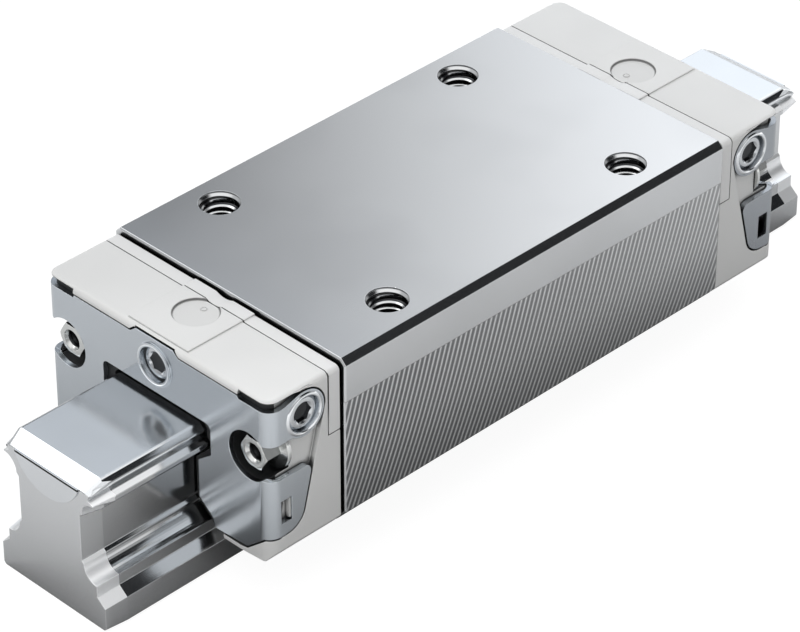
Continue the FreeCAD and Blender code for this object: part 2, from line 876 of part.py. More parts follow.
def end_cap(label, channels):
    """Moulded end cap: carries the scraper plate, the seal, the lube ports and the ball turns."""
    body = new_body(label + "_moulding")
    rear = "base_rear"
    plan = new_sketch(body, "XY_Plane", "cap_bottom")
    outline(plan, [
        (minus(rear), "-cap_half"),
        (minus(rear), "cap_half"),
        (minus("block_end"), "cap_half", "round", "plate_bend"),
        (minus("block_end"), "-cap_half", "round", "plate_bend"),
    ])
    block = pad(body, plan, "cap_top - cap_bottom")
    doc.recompute()
    rims = []
    for index, edge in enumerate(block.Shape.Edges, 1):
        box = edge.BoundBox
        level = box.ZMin > value("cap_top") - 1e-6
        if level and box.XMin < value(minus(rear)) - 0.1:
            rims.append(f"Edge{index}")
    fillet = body.newObject("PartDesign::Fillet", label + "_rim")
    fillet.Base = (block, rims)
    fillet.setExpression("Radius", linked("cap_edge"))
    raised_pad(body, "block_end - cap_edge", "base_front")
    under = new_sketch(body, "YZ_Plane")
    outline(under, both_sides([
        ("cap_half + past", "cap_bottom - past"),
        ("cap_half + past", "leg_bottom + kink_rise"),
        ("cap_half", "leg_bottom + kink_rise"),
        ("cap_half - kink_inset", "cap_bottom + kink_lift"),
        ("cap_half - belly_inset", "cap_bottom + belly_lift"),
    ] + opening_side("window_gap", "cap_bottom + belly_lift", "cavity_top")))
    pocket(body, under)
    seat = new_sketch(body, "YZ_Plane", minus("base_front + seam"))
    outline(seat, [
        ("cap_half + past", "base_skirt_top - seam"),
        ("cap_half + past", "cap_top + past"),
        ("-(cap_half + past)", "cap_top + past"),
        ("-(cap_half + past)", "base_skirt_top - seam"),
        ("-(cap_half - base_skirt_wall + seam)", "base_skirt_top - seam"),
        ("-(cap_half - base_skirt_wall + seam)", "cap_bottom - past"),
        ("cap_half - base_skirt_wall + seam", "cap_bottom - past"),
        ("cap_half - base_skirt_wall + seam", "base_skirt_top - seam"),
    ])
    pocket(body, seat, "base_thickness + seam + past", backwards=True)
    dimple = new_sketch(body, "XY_Plane", "cap_top + pad_rise")
    circle(dimple, "-dimple_place", "0", "dimple_radius")
    pocket(body, dimple, "dimple_depth")
    pip = new_sketch(body, "XY_Plane", "cap_top + pad_rise - dimple_depth")
    circle(pip, "-dimple_place + pip_place", "0", "pip_radius")
    pad(body, pip, "dimple_depth / 3")

    inside = prism(label + "_inside", "XY_Plane", [
        ("0", "-(cap_half - plate_thickness - plate_gap)"),
        ("0", "cap_half - plate_thickness - plate_gap"),
        ("-(block_end - plate_thickness)", "cap_half - plate_thickness - plate_gap",
         "round", "plate_bend - plate_thickness"),
        ("-(block_end - plate_thickness)", "-(cap_half - plate_thickness - plate_gap)",
         "round", "plate_bend - plate_thickness"),
    ], "0", "2 * block_top")
    ring = "(ring_radius + 2 * plate_gap)"
    lugs = prism(label + "_lug_recess", "XZ_Plane", [
        ("-(block_end + past)", "lug_bottom - 2 * plate_gap"),
        ("-(lug_heel - 2 * plate_gap)", "lug_bottom - 2 * plate_gap", "round", "lug_round + 2 * plate_gap"),
        (f"-(port_place - {ring})", "port_rise", "left", ring),
        ("-port_place", f"port_rise + {ring}"),
        (f"-(port_place + {ring} / 2)", "plate_centre_top"),
        ("-(block_end + past)", "plate_centre_top"),
    ], "-2 * cap_half", "4 * cap_half")
    face = prism(label + "_face_recess", "YZ_Plane", both_sides([
        ("cap_half - corner_inset", "plate_bottom - 2 * plate_gap"),
        ("cap_half - bottom_inset", "plate_bottom"),
        ("cap_half - flare_inset + plate_gap", "lug_bottom - flare_drop - 2 * plate_gap"),
        ("cap_half + past", "lug_bottom - 2 * plate_gap"),
        ("cap_half + past", "plate_centre_top"),
        ("cap_half - corner_inset + plate_gap", "plate_centre_top"),
        ("cap_half - corner_inset", "plate_top + plate_gap"),
        ("tongue_root + plate_gap", "plate_top + plate_gap"),
        ("tongue_half + plate_gap", "plate_centre_top + plate_gap"),
    ]), "-(block_end + past)", "plate_bend + past")
    recess = combine("Part::MultiFuse", label + "_recess_area", [lugs, face])
    recess = cut(label + "_recess", recess, inside)
    rubber = prism(label + "_seal_recess", "YZ_Plane",
                   both_sides(opening_side("window_gap + rubber_reach + rubber_play", "cap_bottom - past",
                                           "cavity_top + rubber_top_reach + rubber_top_play")),
                   "-(block_end + past)", "past + plate_thickness + rubber_thickness + rubber_back_gap")
    pockets = screw_holes(label + "_screw_pocket", "screw_pocket_radius + screw_play",
                          minus("block_end + past"), "screw_pocket_depth + past")
    holes = screw_holes(label + "_screw_hole", "shank_radius + screw_play", minus("block_end"), "block_end")
    port = cylinder(label + "_side_port", "port_radius + port_gap", "port_depth + past",
                    ("-port_place", "-(cap_half + past / 2)", "port_rise"), ACROSS)
    centre = cylinder(label + "_centre_port", "port_radius + port_gap", "port_depth + past",
                      (minus("block_end + past / 2"), "0", "port_rise"), ALONG)
    ports = [port, mirror(label + "_side_port_left", port, ACROSS), centre]
    tool = combine("Part::MultiFuse", label + "_cuts", [recess, rubber] + pockets + holes + ports + channels)
    return cut(label, body, tool)


def scraper_plate(label):
    """Bent sheet-metal plate that clips over the end cap with two lugs on each side."""
    body = new_body(label)
    bend_end = "(block_end - plate_bend - bend_run)"
    inner = "(cap_half - plate_thickness)"
    front = "(block_end - plate_thickness)"
    plan = new_sketch(body, "XY_Plane", "plate_bottom")
    outline(plan, [
        (minus(bend_end), "cap_half"),
        (minus("block_end"), "cap_half", "round", "plate_bend"),
        (minus("block_end"), "-cap_half", "round", "plate_bend"),
        (minus(bend_end), "-cap_half"),
        (minus(bend_end), minus(inner)),
        (minus(front), minus(inner), "round", "plate_bend - plate_thickness"),
        (minus(front), inner, "round", "plate_bend - plate_thickness"),
        (minus(bend_end), inner),
    ])
    pad(body, plan, "plate_centre_top - plate_bottom")
    blank = new_sketch(body, "YZ_Plane", "-(block_end + past)")
    outline(blank, both_sides([
        ("cap_half + past", "plate_bottom - past"),
        ("cap_half + past", "lug_bottom"),
        ("cap_half - flare_inset", "lug_bottom - flare_drop"),
        ("cap_half - bottom_inset", "plate_bottom + bottom_step"),
    ] + opening_side("window_gap", "plate_bottom", "cavity_top - plate_gap")))
    outline(blank, both_sides([
        ("tongue_half", "plate_centre_top"),
        ("tongue_root", "plate_top"),
        ("cap_half - corner_inset", "plate_top"),
        ("cap_half - corner_inset + corner_slope", "plate_corner_top"),
        ("cap_half + past", "plate_corner_top"),
        ("cap_half + past", "plate_centre_top + past"),
    ]))
    circle(blank, "screw_side", "screw_rise", "screw_pocket_radius")
    circle(blank, "-screw_side", "screw_rise", "screw_pocket_radius")
    circle(blank, "0", "port_rise", "port_radius + port_gap")
    pocket(body, blank, "plate_bend + bend_run + 2 * past", backwards=True)
    low_reach = "sqrt(ring_radius ^ 2 - (port_rise - upper_lug_bottom) ^ 2)"
    for start in ("cap_half - plate_thickness", "-cap_half"):
        upper = new_sketch(body, "XZ_Plane", start)
        outline(upper, [
            (minus(bend_end), "upper_lug_bottom"),
            (f"-(port_place + {low_reach})", "upper_lug_bottom", "left", "ring_radius"),
            ("-(port_place - ring_radius)", "port_rise", "left", "ring_radius"),
            ("-(port_place + lug_crest)", "port_rise + sqrt(ring_radius ^ 2 - lug_crest ^ 2)"),
            (minus(bend_end), "plate_corner_top"),
        ])
        pad(body, upper, "plate_thickness")
        lower = new_sketch(body, "XZ_Plane", start)
        outline(lower, [
            (minus(bend_end), "lug_bottom"),
            ("-lug_heel", "lug_bottom", "round", "lug_round"),
            ("-lower_lug_back", "lower_lug_top", "round", "lug_tip_round"),
            (minus(bend_end), "lower_lug_top"),
        ])
        pad(body, lower, "plate_thickness")
    collar = new_sketch(body, "YZ_Plane", minus("block_end"))
    circle(collar, "0", "port_rise", "collar_radius")
    circle(collar, "0", "port_rise", "port_radius + port_gap")
    pad(body, collar, "collar_rise", backwards=True)
    holes = new_sketch(body, "XZ_Plane")
    circle(holes, "-port_place", "port_rise", "port_radius + port_gap")
    outline(holes, [
        ("-(slot_place + slot_length / 2)", "slot_rise - slot_height / 2"),
        ("-(slot_place - slot_length / 2)", "slot_rise - slot_height / 2"),
        ("-(slot_place - slot_length / 2)", "slot_rise + slot_height / 2"),
        ("-(slot_place + slot_length / 2)", "slot_rise + slot_height / 2"),
    ])
    outline(holes, [
        (minus(front), "lower_lug_top"),
        (f"-({bend_end} - past)", "lower_lug_top"),
        (f"-({bend_end} - past)", "upper_lug_bottom"),
        (minus(front), "upper_lug_bottom"),
    ])
    pocket(body, holes)
    return body


def end_seal(label):
    """Rubber seal behind the scraper plate, with a lip all round the rail."""
    body = new_body(label)
    drawing = new_sketch(body, "YZ_Plane", "-(block_end - plate_thickness)")
    low = "plate_bottom - rubber_hang"
    outer = opening_side("window_gap + rubber_reach", low, "cavity_top + rubber_top_reach")
    slant = "(sqrt(2) - 1) * rubber_gap"
    lip = [
        ("shoulder + rubber_gap", low),
        ("shoulder + rubber_gap", f"low_lip + {slant}"),
        ("web_half + rubber_gap", f"low_root + web_relief + {slant}"),
        ("web_half + rubber_gap", f"high_root - web_relief - {slant}"),
        ("shoulder + rubber_gap", f"high_lip - {slant}"),
        ("shoulder + rubber_gap", "lip_top + rubber_gap"),
        ("head_side_half + strip_thickness + rubber_gap + strip_gap", "lip_top + notch_rise + rubber_gap"),
        ("head_side_half + strip_thickness + rubber_gap + strip_gap", "rail_top - strip_corner_drop"),
        ("head_flat_half + rubber_gap", "rail_top + rubber_gap"),
    ]
    outline(drawing, [(outer[0][0], low)] + both_sides(outer)[1:-1] + [(minus(outer[0][0]), low)]
            + both_sides(lip)[::-1])
    pad(body, drawing, "rubber_thickness")
    return body


def flange_screws(label):
    """Hexagon screws with a flange and a tapped bore in the head, two on each end."""
    seat = "(block_end - screw_pocket_depth)"
    hexagon = doc.addObject("Part::Prism", label + "_hexagon")
    hexagon.Polygon = 6
    hexagon.setExpression("Circumradius", linked("hex_radius"))
    hexagon.setExpression("Height", linked(f"hex_place - {seat}"))
    hexagon.Placement = FreeCAD.Placement(FreeCAD.Vector(), FreeCAD.Rotation(UP, ALONG))
    for name, place in zip("xyz", ("-hex_place", "screw_side", "screw_rise")):
        hexagon.setExpression(f"Placement.Base.{name}", linked(place))
    flange = cylinder(label + "_flange", "flange_radius", "flange_thickness",
                      (f"-({seat} + flange_thickness)", "screw_side", "screw_rise"), ALONG)
    shank = cylinder(label + "_shank", "shank_radius", f"{seat} - steel_length / 2 + shank_depth",
                     (minus(seat), "screw_side", "screw_rise"), ALONG)
    whole = combine("Part::MultiFuse", label + "_whole", [hexagon, flange, shank])
    bore = cylinder(label + "_bore", "head_bore_radius", "head_bore_depth",
                    ("-hex_place", "screw_side", "screw_rise"), ALONG)
    screw = cut(label + "_one", whole, bore)
    pair = doc.addObject("Part::Compound", label)
    pair.Links = [screw, mirror(label + "_other", screw, ACROSS)]
    pair.Label = label
    return pair


def port_screw(label, base, axis):
    """Set screw that closes a lube port, with a hexagon socket."""
    plug = cylinder(label + "_plug", "port_radius", "port_depth", base, axis)
    socket = doc.addObject("Part::Prism", label + "_socket")
    socket.Polygon = 6
    socket.setExpression("Circumradius", linked("socket_radius"))
    socket.setExpression("Height", linked("socket_depth"))
    socket.Placement = FreeCAD.Placement(FreeCAD.Vector(), FreeCAD.Rotation(UP, axis))
    for name, place in zip("xyz", base):
        socket.setExpression(f"Placement.Base.{name}", linked(place))
    return cut(label, plug, socket)


nodes = {"guide_rail": guide_rail(), "cover_strip": cover_strip(), "steel_body": steel_body()}

right_side = {
    "track_insert_upper": track_insert("track_insert_upper_source", "high_ball", "1"),
    "track_insert_lower": track_insert("track_insert_lower_source", "low_ball", "(-1)"),
    "ball_guide_upper": ball_guide("ball_guide_upper_source", "high_ball", "1", "guide_top"),
    "ball_guide_lower": ball_guide("ball_guide_lower_source", "low_ball", "(-1)", "guide_bottom"),
    "return_tube_upper": return_tube("return_tube_upper_source", "high_return"),
    "return_tube_lower": return_tube("return_tube_lower_source", "low_return"),
    "ball_row_upper": ball_row("ball_row_upper_source", "high_ball"),
    "ball_row_lower": ball_row("ball_row_lower_source", "low_ball"),
    "side_seal": side_seal("side_seal_source"),
}
for name, source in right_side.items():
    source.Label = name + "_left"
    nodes[name + "_left"] = source
    nodes[name + "_right"] = mirror(name + "_right", source, ACROSS)

channels = ball_channels()
side_screw = port_screw("side_port_screw",
                        ("-port_place", "-(cap_half - side_port_sink)", "port_rise"), ACROSS)
side_screws = doc.addObject("Part::Compound", "front_side_port_screws")
side_screws.Links = [side_screw, mirror("side_port_screw_left", side_screw, ACROSS)]
side_screws.Label = "front_side_port_screws"
front = {
    "base_plate": base_plate("front_base_plate", channels),
    "end_cap": end_cap("front_end_cap", channels),
    "ball_deflectors": ball_deflectors("front_ball_deflectors"),
    "scraper_plate": scraper_plate("front_scraper_plate"),
    "end_seal": end_seal("front_end_seal"),
    "flange_screws": flange_screws("front_flange_screws"),
    "centre_port_screw": port_screw("front_centre_port_screw",
                                    ("-(block_end - centre_port_sink)", "0", "port_rise"), ALONG),
    "side_port_screws": side_screws,
}
for name, source in front.items():
    nodes["front_" + name] = source
    nodes["rear_" + name] = mirror("rear_" + name, source, ALONG)

doc.recompute()
for item in doc.Objects:
    if "Invalid" in item.State or "Error" in item.State:
        raise RuntimeError(f"{item.Label} did not compute: {item.State}")
for name, item in nodes.items():
    shape = item.Shape
    if shape.isNull() or not shape.isValid():
        raise RuntimeError(f"{name} has no sound shape")
for name, item in nodes.items():
    item.Shape.exportStep(f"parts/{name}.step")
    print(f"{name}: {len(item.Shape.Solids)} solids, {item.Shape.Volume:.1f} mm3")
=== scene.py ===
import math

import bmesh
import bpy
from mathutils import Matrix, Vector


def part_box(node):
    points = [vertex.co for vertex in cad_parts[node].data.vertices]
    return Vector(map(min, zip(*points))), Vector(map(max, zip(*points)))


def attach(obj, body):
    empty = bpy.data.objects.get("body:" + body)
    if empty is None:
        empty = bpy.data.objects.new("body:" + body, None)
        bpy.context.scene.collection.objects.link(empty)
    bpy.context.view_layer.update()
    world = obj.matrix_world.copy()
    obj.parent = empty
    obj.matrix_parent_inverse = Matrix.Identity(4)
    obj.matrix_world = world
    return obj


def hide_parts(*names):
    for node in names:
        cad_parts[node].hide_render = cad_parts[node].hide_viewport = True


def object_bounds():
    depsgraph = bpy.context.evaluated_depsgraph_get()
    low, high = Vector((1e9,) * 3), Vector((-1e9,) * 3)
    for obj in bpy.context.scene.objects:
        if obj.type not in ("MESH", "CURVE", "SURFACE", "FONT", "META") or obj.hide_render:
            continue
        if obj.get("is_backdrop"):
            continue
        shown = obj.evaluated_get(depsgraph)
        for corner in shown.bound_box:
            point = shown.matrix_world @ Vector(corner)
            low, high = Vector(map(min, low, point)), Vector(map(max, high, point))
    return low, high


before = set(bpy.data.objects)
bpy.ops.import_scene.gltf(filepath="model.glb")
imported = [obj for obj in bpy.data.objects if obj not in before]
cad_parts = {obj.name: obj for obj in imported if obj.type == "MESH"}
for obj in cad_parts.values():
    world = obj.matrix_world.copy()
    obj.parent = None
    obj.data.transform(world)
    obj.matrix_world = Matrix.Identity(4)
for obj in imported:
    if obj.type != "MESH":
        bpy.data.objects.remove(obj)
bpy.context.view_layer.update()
MM = 0.001

# Camera
# A long lens looks down on the front right corner of the block, as in the photograph.

SENSOR_WIDTH = 36.0
LENS = 187.53
LOOK_TURN = math.radians(45.083)
LOOK_DOWN = math.radians(35.225)
LOOK_AT = Vector((-5.0, 0.0, 14.41)) * MM
LOOK_DISTANCE = 625.887 * MM

look = Vector((math.cos(LOOK_DOWN) * math.cos(LOOK_TURN),
               math.cos(LOOK_DOWN) * math.sin(LOOK_TURN),
               -math.sin(LOOK_DOWN)))
lens = bpy.data.cameras.new("photo_camera")
lens.sensor_fit = "HORIZONTAL"
lens.sensor_width = SENSOR_WIDTH
lens.lens = LENS
camera = bpy.data.objects.new("photo_camera", lens)
bpy.context.scene.collection.objects.link(camera)
camera.location = LOOK_AT - look * LOOK_DISTANCE
camera.rotation_mode = "QUATERNION"
camera.rotation_quaternion = look.to_track_quat("-Z", "Y")
bpy.context.scene.camera = camera

# Guide rail
# A bar of hardened steel, profile ground all over along its length, so that its faces are bright
# with fine lengthwise grinding marks and its edges only just broken; the tapered lead-in at both
# ends is ground by itself and has a more even finish, and its faces in the grooves are painted near white,
# a painted highlight for the bright light they mirror.


def put(tree, kind, inputs=None, **settings):
    """Adds a shader node. An input is a plain value or another node's output."""
    made = tree.nodes.new("ShaderNode" + kind)
    for name, setting in settings.items():
        setattr(made, name, setting)
    for name, given in (inputs or {}).items():
        if isinstance(given, bpy.types.NodeSocket):
            tree.links.new(given, made.inputs[name])
        else:
            made.inputs[name].default_value = given
    return made


def maths(tree, operation, *given, clamp=False):
    """The value of a Math node."""
    return put(tree, "Math", dict(enumerate(given)), operation=operation, use_clamp=clamp).outputs["Value"]


def new_group(name, sockets, results):
    """An empty shader node group; sockets and results give each one's name, kind and default."""
    tree = bpy.data.node_groups.new(name, "ShaderNodeTree")
    for label, kind, default in sockets:
        socket = tree.interface.new_socket(label, in_out="INPUT", socket_type="NodeSocket" + kind)
        socket.default_value = default
    for label, kind in results:
        tree.interface.new_socket(label, in_out="OUTPUT", socket_type="NodeSocket" + kind)
    entry = tree.nodes.new("NodeGroupInput")
    leave = tree.nodes.new("NodeGroupOutput")
    return tree, entry.outputs, leave.inputs


def finish_marks_group():
    """Fine marks, long in one direction, with a soft cloudiness of the finish over them."""
    tree, given, result = new_group(
        "finish_marks",
        [("Stretch", "Vector", (1.0, 1.0, 1.0)), ("Cloud Size", "Float", 60.0)],
        [("Height", "Float"), ("Cloud", "Float")])
    place = put(tree, "TexCoord").outputs["Object"]
    pulled = put(tree, "Mapping", {"Vector": place, "Scale": given["Stretch"]}).outputs["Vector"]
    lines = put(tree, "TexNoise", {"Vector": pulled, "Scale": 1.0, "Detail": 3.0, "Roughness": 0.65})
    cloud = put(tree, "TexNoise", {"Vector": place, "Scale": given["Cloud Size"], "Detail": 2.0})
    tree.links.new(lines.outputs["Fac"], result["Height"])
    tree.links.new(cloud.outputs["Fac"], result["Cloud"])
    return tree


def edge_highlight_group():
    """A mask that is white along outer edges, where a highlight is painted on them."""
    tree, given, result = new_group(
        "edge_highlight_mask", [("Width", "Float", 0.2 * MM), ("Gain", "Float", 3.0)], [("Mask", "Float")])
    rounded = put(tree, "Bevel", {"Radius": given["Width"]}, samples=4).outputs["Normal"]
    flat = put(tree, "NewGeometry").outputs["Normal"]
    along = put(tree, "VectorMath", {0: rounded, 1: flat}, operation="DOT_PRODUCT").outputs["Value"]
    away = maths(tree, "SUBTRACT", 1.0, along)
    tree.links.new(maths(tree, "MULTIPLY", away, given["Gain"], clamp=True), result["Mask"])
    return tree


FINISH_MARKS = finish_marks_group()
EDGE_HIGHLIGHT = edge_highlight_group()


def group_in(tree, group, inputs=None):
    """Puts a node group into a material and gives its results."""
    made = tree.nodes.new("ShaderNodeGroup")
    made.node_tree = group
    for name, given in (inputs or {}).items():
        made.inputs[name].default_value = given
    return made.outputs


def new_material(name):
    """A material with a Principled BSDF and nothing else yet."""
    material = bpy.data.materials.new(name)
    material.use_nodes = True
    tree = material.node_tree
    tree.nodes.clear()
    surface = put(tree, "BsdfPrincipled")
    put(tree, "OutputMaterial", {"Surface": surface.outputs["BSDF"]})
    return material, tree, surface


def blend_colour(tree, share, first, second):
    """First colour where the share is 0, second where it is 1."""
    mix = put(tree, "Mix", data_type="RGBA", clamp_factor=True)
    sockets = [socket for socket in mix.inputs if socket.type == "RGBA"]
    tree.links.new(share, mix.inputs[0])
    for socket, given in zip(sockets, (first, second)):
        if isinstance(given, bpy.types.NodeSocket):
            tree.links.new(given, socket)
        else:
            socket.default_value = (*given, 1.0)
    return [socket for socket in mix.outputs if socket.type == "RGBA"][0]


def spread(tree, source, low, high, start=0.0, end=1.0):
    """Maps a value from start and end to low and high."""
    made = put(tree, "MapRange", {"Value": source, "From Min": start, "From Max": end,
                                  "To Min": low, "To Max": high})
    return made.outputs["Result"]


METAL_CLOUD_SIZE = 60.0
CLOUDED_SHARE = 0.35
CLOUDED_TONE = 0.86
SMOOTHER = 0.85
ROUGHER = 1.2
METAL_BUMP = 0.6


def metal(name, colour, painted_light, roughness, stretch, depth, edge=0.2 * MM):
    """Bright metal with marks of its own direction, a cloudy finish and a painted highlight along its
    edges.
    """
    material, tree, surface = new_material(name)
    marks = group_in(tree, FINISH_MARKS, {"Stretch": stretch, "Cloud Size": METAL_CLOUD_SIZE})
    rim = group_in(tree, EDGE_HIGHLIGHT, {"Width": edge})["Mask"]
    tone = spread(tree, marks["Cloud"], 0.0, CLOUDED_SHARE, start=0.35, end=0.65)
    plain = blend_colour(tree, tone, colour, tuple(CLOUDED_TONE * part for part in colour))
    # painted highlight: the colour turns paler along the edges
    tree.links.new(blend_colour(tree, rim, plain, painted_light), surface.inputs["Base Color"])
    rough = spread(tree, marks["Cloud"], roughness * SMOOTHER, roughness * ROUGHER, start=0.3, end=0.7)
    tree.links.new(rough, surface.inputs["Roughness"])
    surface.inputs["Metallic"].default_value = 1.0
    bump = put(tree, "Bump", {"Strength": METAL_BUMP, "Distance": depth, "Height": marks["Height"]})
    tree.links.new(bump.outputs["Normal"], surface.inputs["Normal"])
    return material


WELD_DISTANCE = 0.002 * MM
FLAT_ANGLE = math.radians(0.6)
EDGE_SEGMENTS = 2


def softened(name, node, body, material, edge, sharp=30.0, reshape=None):
    """The CAD node's own shape with its edges broken, as those of the real piece are."""
    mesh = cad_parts[node].data.copy()
    mesh.name = name
    shape = bmesh.new()
    shape.from_mesh(mesh)
    bmesh.ops.remove_doubles(shape, verts=shape.verts, dist=WELD_DISTANCE)
    if reshape:
        reshape(shape)
    bmesh.ops.dissolve_limit(shape, angle_limit=FLAT_ANGLE, verts=shape.verts, edges=shape.edges)
    shape.to_mesh(mesh)
    shape.free()
    for custom in [layer for layer in mesh.attributes if layer.name == "custom_normal"]:
        mesh.attributes.remove(custom)
    mesh.materials.clear()
    mesh.materials.append(material)
    piece = bpy.data.objects.new(name, mesh)
    bpy.context.scene.collection.objects.link(piece)
    bevel = piece.modifiers.new("broken_edges", "BEVEL")
    bevel.width = edge
    bevel.segments = EDGE_SEGMENTS
    bevel.limit_method = "ANGLE"
    bevel.angle_limit = math.radians(sharp)
    bevel.use_clamp_overlap = False
    bevel.harden_normals = True
    mesh.shade_smooth()
    mesh.set_sharp_from_angle(angle=math.radians(sharp))
    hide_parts(node)
    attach(piece, body)
    return piece


RAIL_STEEL = metal("ground_rail_steel", (0.70, 0.71, 0.72), (0.88, 0.89, 0.90), 0.15,
                   (12.0, 2600.0, 2600.0), 0.006 * MM)
RAIL_END = 74.5
LEAD_IN = 2.3
HEAD_LEAD_IN = 2.6
GROOVE_LEAD_IN = 3.8
LEAD_IN_SLACK = 0.1
HEAD_FOOT = 22.7
HEAD_FLAT_HALF = 8.6
GROOVE_HEIGHTS = ((4.5, 11.6), (16.8, 22.0))
SHARP_RAIL_ANGLE = 20.0
RAIL_EDGE = 0.10 * MM


def longer_lead_in(shape):
    """Draws the ground lead-in at both ends out along the rail, more so in the grooves and web."""
    for vertex in shape.verts:
        back = RAIL_END - abs(vertex.co.x / MM)
        if 0.0 < back < LEAD_IN + 0.01:
            head = vertex.co.z > HEAD_FOOT * MM and abs(vertex.co.y) < HEAD_FLAT_HALF * MM
            share = (HEAD_LEAD_IN if head else GROOVE_LEAD_IN) / LEAD_IN
            vertex.co.x = math.copysign(RAIL_END - back * share, vertex.co.x) * MM


def crisp_lead_in(piece):
    """Keeps the shading of the lead-in apart from that of the straight length."""
    mesh = piece.data
    for edge in mesh.edges:
        backs = [RAIL_END - abs(mesh.vertices[index].co.x / MM) for index in edge.vertices]
        if min(backs) > HEAD_LEAD_IN - LEAD_IN_SLACK and max(backs) < GROOVE_LEAD_IN + LEAD_IN_SLACK:
            edge.use_edge_sharp = True


rail = softened("ground_rail", "guide_rail", "rail", RAIL_STEEL, RAIL_EDGE,
                sharp=SHARP_RAIL_ANGLE, reshape=longer_lead_in)
crisp_lead_in(rail)
# painted highlight: the lead-in faces in the grooves are coloured near white; their rougher finish is real
LEAD_IN_HIGHLIGHT_STEEL = metal("lead_in_painted_bright_steel", (0.95, 0.96, 0.97), (0.95, 0.96, 0.97), 0.40,
                      (300.0, 300.0, 300.0), 0.002 * MM)
rail.data.materials.append(LEAD_IN_HIGHLIGHT_STEEL)
for face in rail.data.polygons:
    tapered = abs(face.center.x) > (RAIL_END - GROOVE_LEAD_IN) * MM and 0.05 < abs(face.normal.x) < 0.95
    if tapered and any(low * MM < face.center.z < high * MM for low, high in GROOVE_HEIGHTS):
        face.material_index = 1

# Cover strip
# Spring-steel sheet 0.2 mm thick, rolled bright, clipped over the rail's head and held at each
# end by a rounded tab bent down over the end face, with the fold open above the tab; the shadow in the fold
# is painted dark.

STRIP_STEEL = metal("rolled_strip_steel", (0.76, 0.78, 0.80), (0.92, 0.93, 0.94), 0.19,
                    (8.0, 900.0, 900.0), 0.002 * MM)
STRIP_EDGE = 0.06 * MM
STRIP_ROUND = 0.35 * MM
ROUND_SEGMENTS = 3
LENGTHWISE = 0.8
BEND_SIDE = 6.0
BEND_RISE = 22.0
BEND_ANGLES = (25.0, 65.0)
TAB_HALF = 6.7
FOLD_PLACE = RAIL_END + 0.05
FOLD_RISE = 22.80
FOLD_HALF = 0.18
FOLD_SHADOW = (0.01, 0.01, 0.011)


def paint_fold_shadow(material):
    """Paints the shadow in the open fold between the strip's end and the tab bent down from it as a dark
    band.
    """
    tree = material.node_tree
    surface = [part for part in tree.nodes if part.type == "BSDF_PRINCIPLED"][0]
    bright = surface.inputs["Base Color"].links[0].from_socket
    place = put(tree, "SeparateXYZ", {"Vector": put(tree, "TexCoord").outputs["Object"]}).outputs
    off = maths(tree, "SUBTRACT", place["Z"], FOLD_RISE * MM)
    mask = None
    for rule, source, limit in (("GREATER_THAN", place["X"], FOLD_PLACE),
                                ("LESS_THAN", place["Y"], TAB_HALF),
                                ("LESS_THAN", off, FOLD_HALF)):
        part = maths(tree, rule, maths(tree, "ABSOLUTE", source), limit * MM)
        mask = part if mask is None else maths(tree, "MULTIPLY", mask, part)
    tree.links.new(blend_colour(tree, mask, bright, FOLD_SHADOW), surface.inputs["Base Color"])


paint_fold_shadow(STRIP_STEEL)


def rolled_corners(shape):
    """Rounds the two bends of the sheet on each side of the head, where it is rolled over."""
    longer_lead_in(shape)
    bends = []
    for edge in shape.edges:
        one, other = (vertex.co / MM for vertex in edge.verts)
        along = abs(one.x - other.x) > LENGTHWISE * (one - other).length
        outside = min(abs(one.y), abs(other.y)) > BEND_SIDE and min(one.z, other.z) > BEND_RISE
        if along and outside and len(edge.link_faces) == 2 and edge.is_convex:
            if BEND_ANGLES[0] < math.degrees(edge.calc_face_angle()) < BEND_ANGLES[1]:
                bends.append(edge)
    bmesh.ops.bevel(shape, geom=bends, offset=STRIP_ROUND, segments=ROUND_SEGMENTS, profile=0.5,
                    affect="EDGES")


strip = softened("clipped_strip", "cover_strip", "rail", STRIP_STEEL, STRIP_EDGE,
                 sharp=SHARP_RAIL_ANGLE, reshape=rolled_corners)
crisp_lead_in(strip)

# Block body
# A block of steel with a ground top and a ground reference band; below the band the flanks keep
# the arcs that a face mill leaves as it feeds along the block.

BAND_EDGE = 28.7 * MM
MILL_RADIUS = 117.0 * MM
MILL_CENTRE = 61.3 * MM
MILL_FEED = 1.04 * MM
MILL_SHARPNESS = 2.6
MILL_DEPTH = 0.03 * MM
GRIND_DEPTH = 0.004 * MM
GROUND_ROUGHNESS, MILLED_ROUGHNESS = 0.20, 0.34
PAINTED_SHADE_FRONT, PAINTED_SHADE_REAR = -30.0 * MM, 40.0 * MM
SHADED_BELOW, CLEAR_ABOVE = 3.0 * MM, 19.0 * MM
GROUND_TONES = (0.66, 0.67, 0.68), (0.62, 0.63, 0.64)
TROUGH_TONES = (0.19, 0.195, 0.20), (0.36, 0.365, 0.37)
RIDGE_TONE = (0.82, 0.825, 0.83)
SHADED_TONES = (0.12, 0.123, 0.126), (0.56, 0.565, 0.57)
EDGE_HIGHLIGHT_TONE = (0.88, 0.89, 0.90)
CREVICE_SHADE_COLOUR = (0.01, 0.01, 0.011)


def crevice_shade_group():
    """A mask that is white deep in slits and inner corners, where shade is painted dark."""
    tree, given, result = new_group(
        "crevice_shade_mask", [("Reach", "Float", 1.4 * MM), ("Open", "Float", 0.85), ("Closed", "Float", 0.4)],
        [("Mask", "Float")])
    open_share = put(tree, "AmbientOcclusion", {"Distance": given["Reach"]}, samples=8).outputs["AO"]
    mask = put(tree, "MapRange", {"Value": open_share, "From Min": given["Open"],
                                  "From Max": given["Closed"]},
               interpolation_type="SMOOTHSTEP")
    tree.links.new(mask.outputs["Result"], result["Mask"])
    return tree


CREVICE_SHADE = crevice_shade_group()


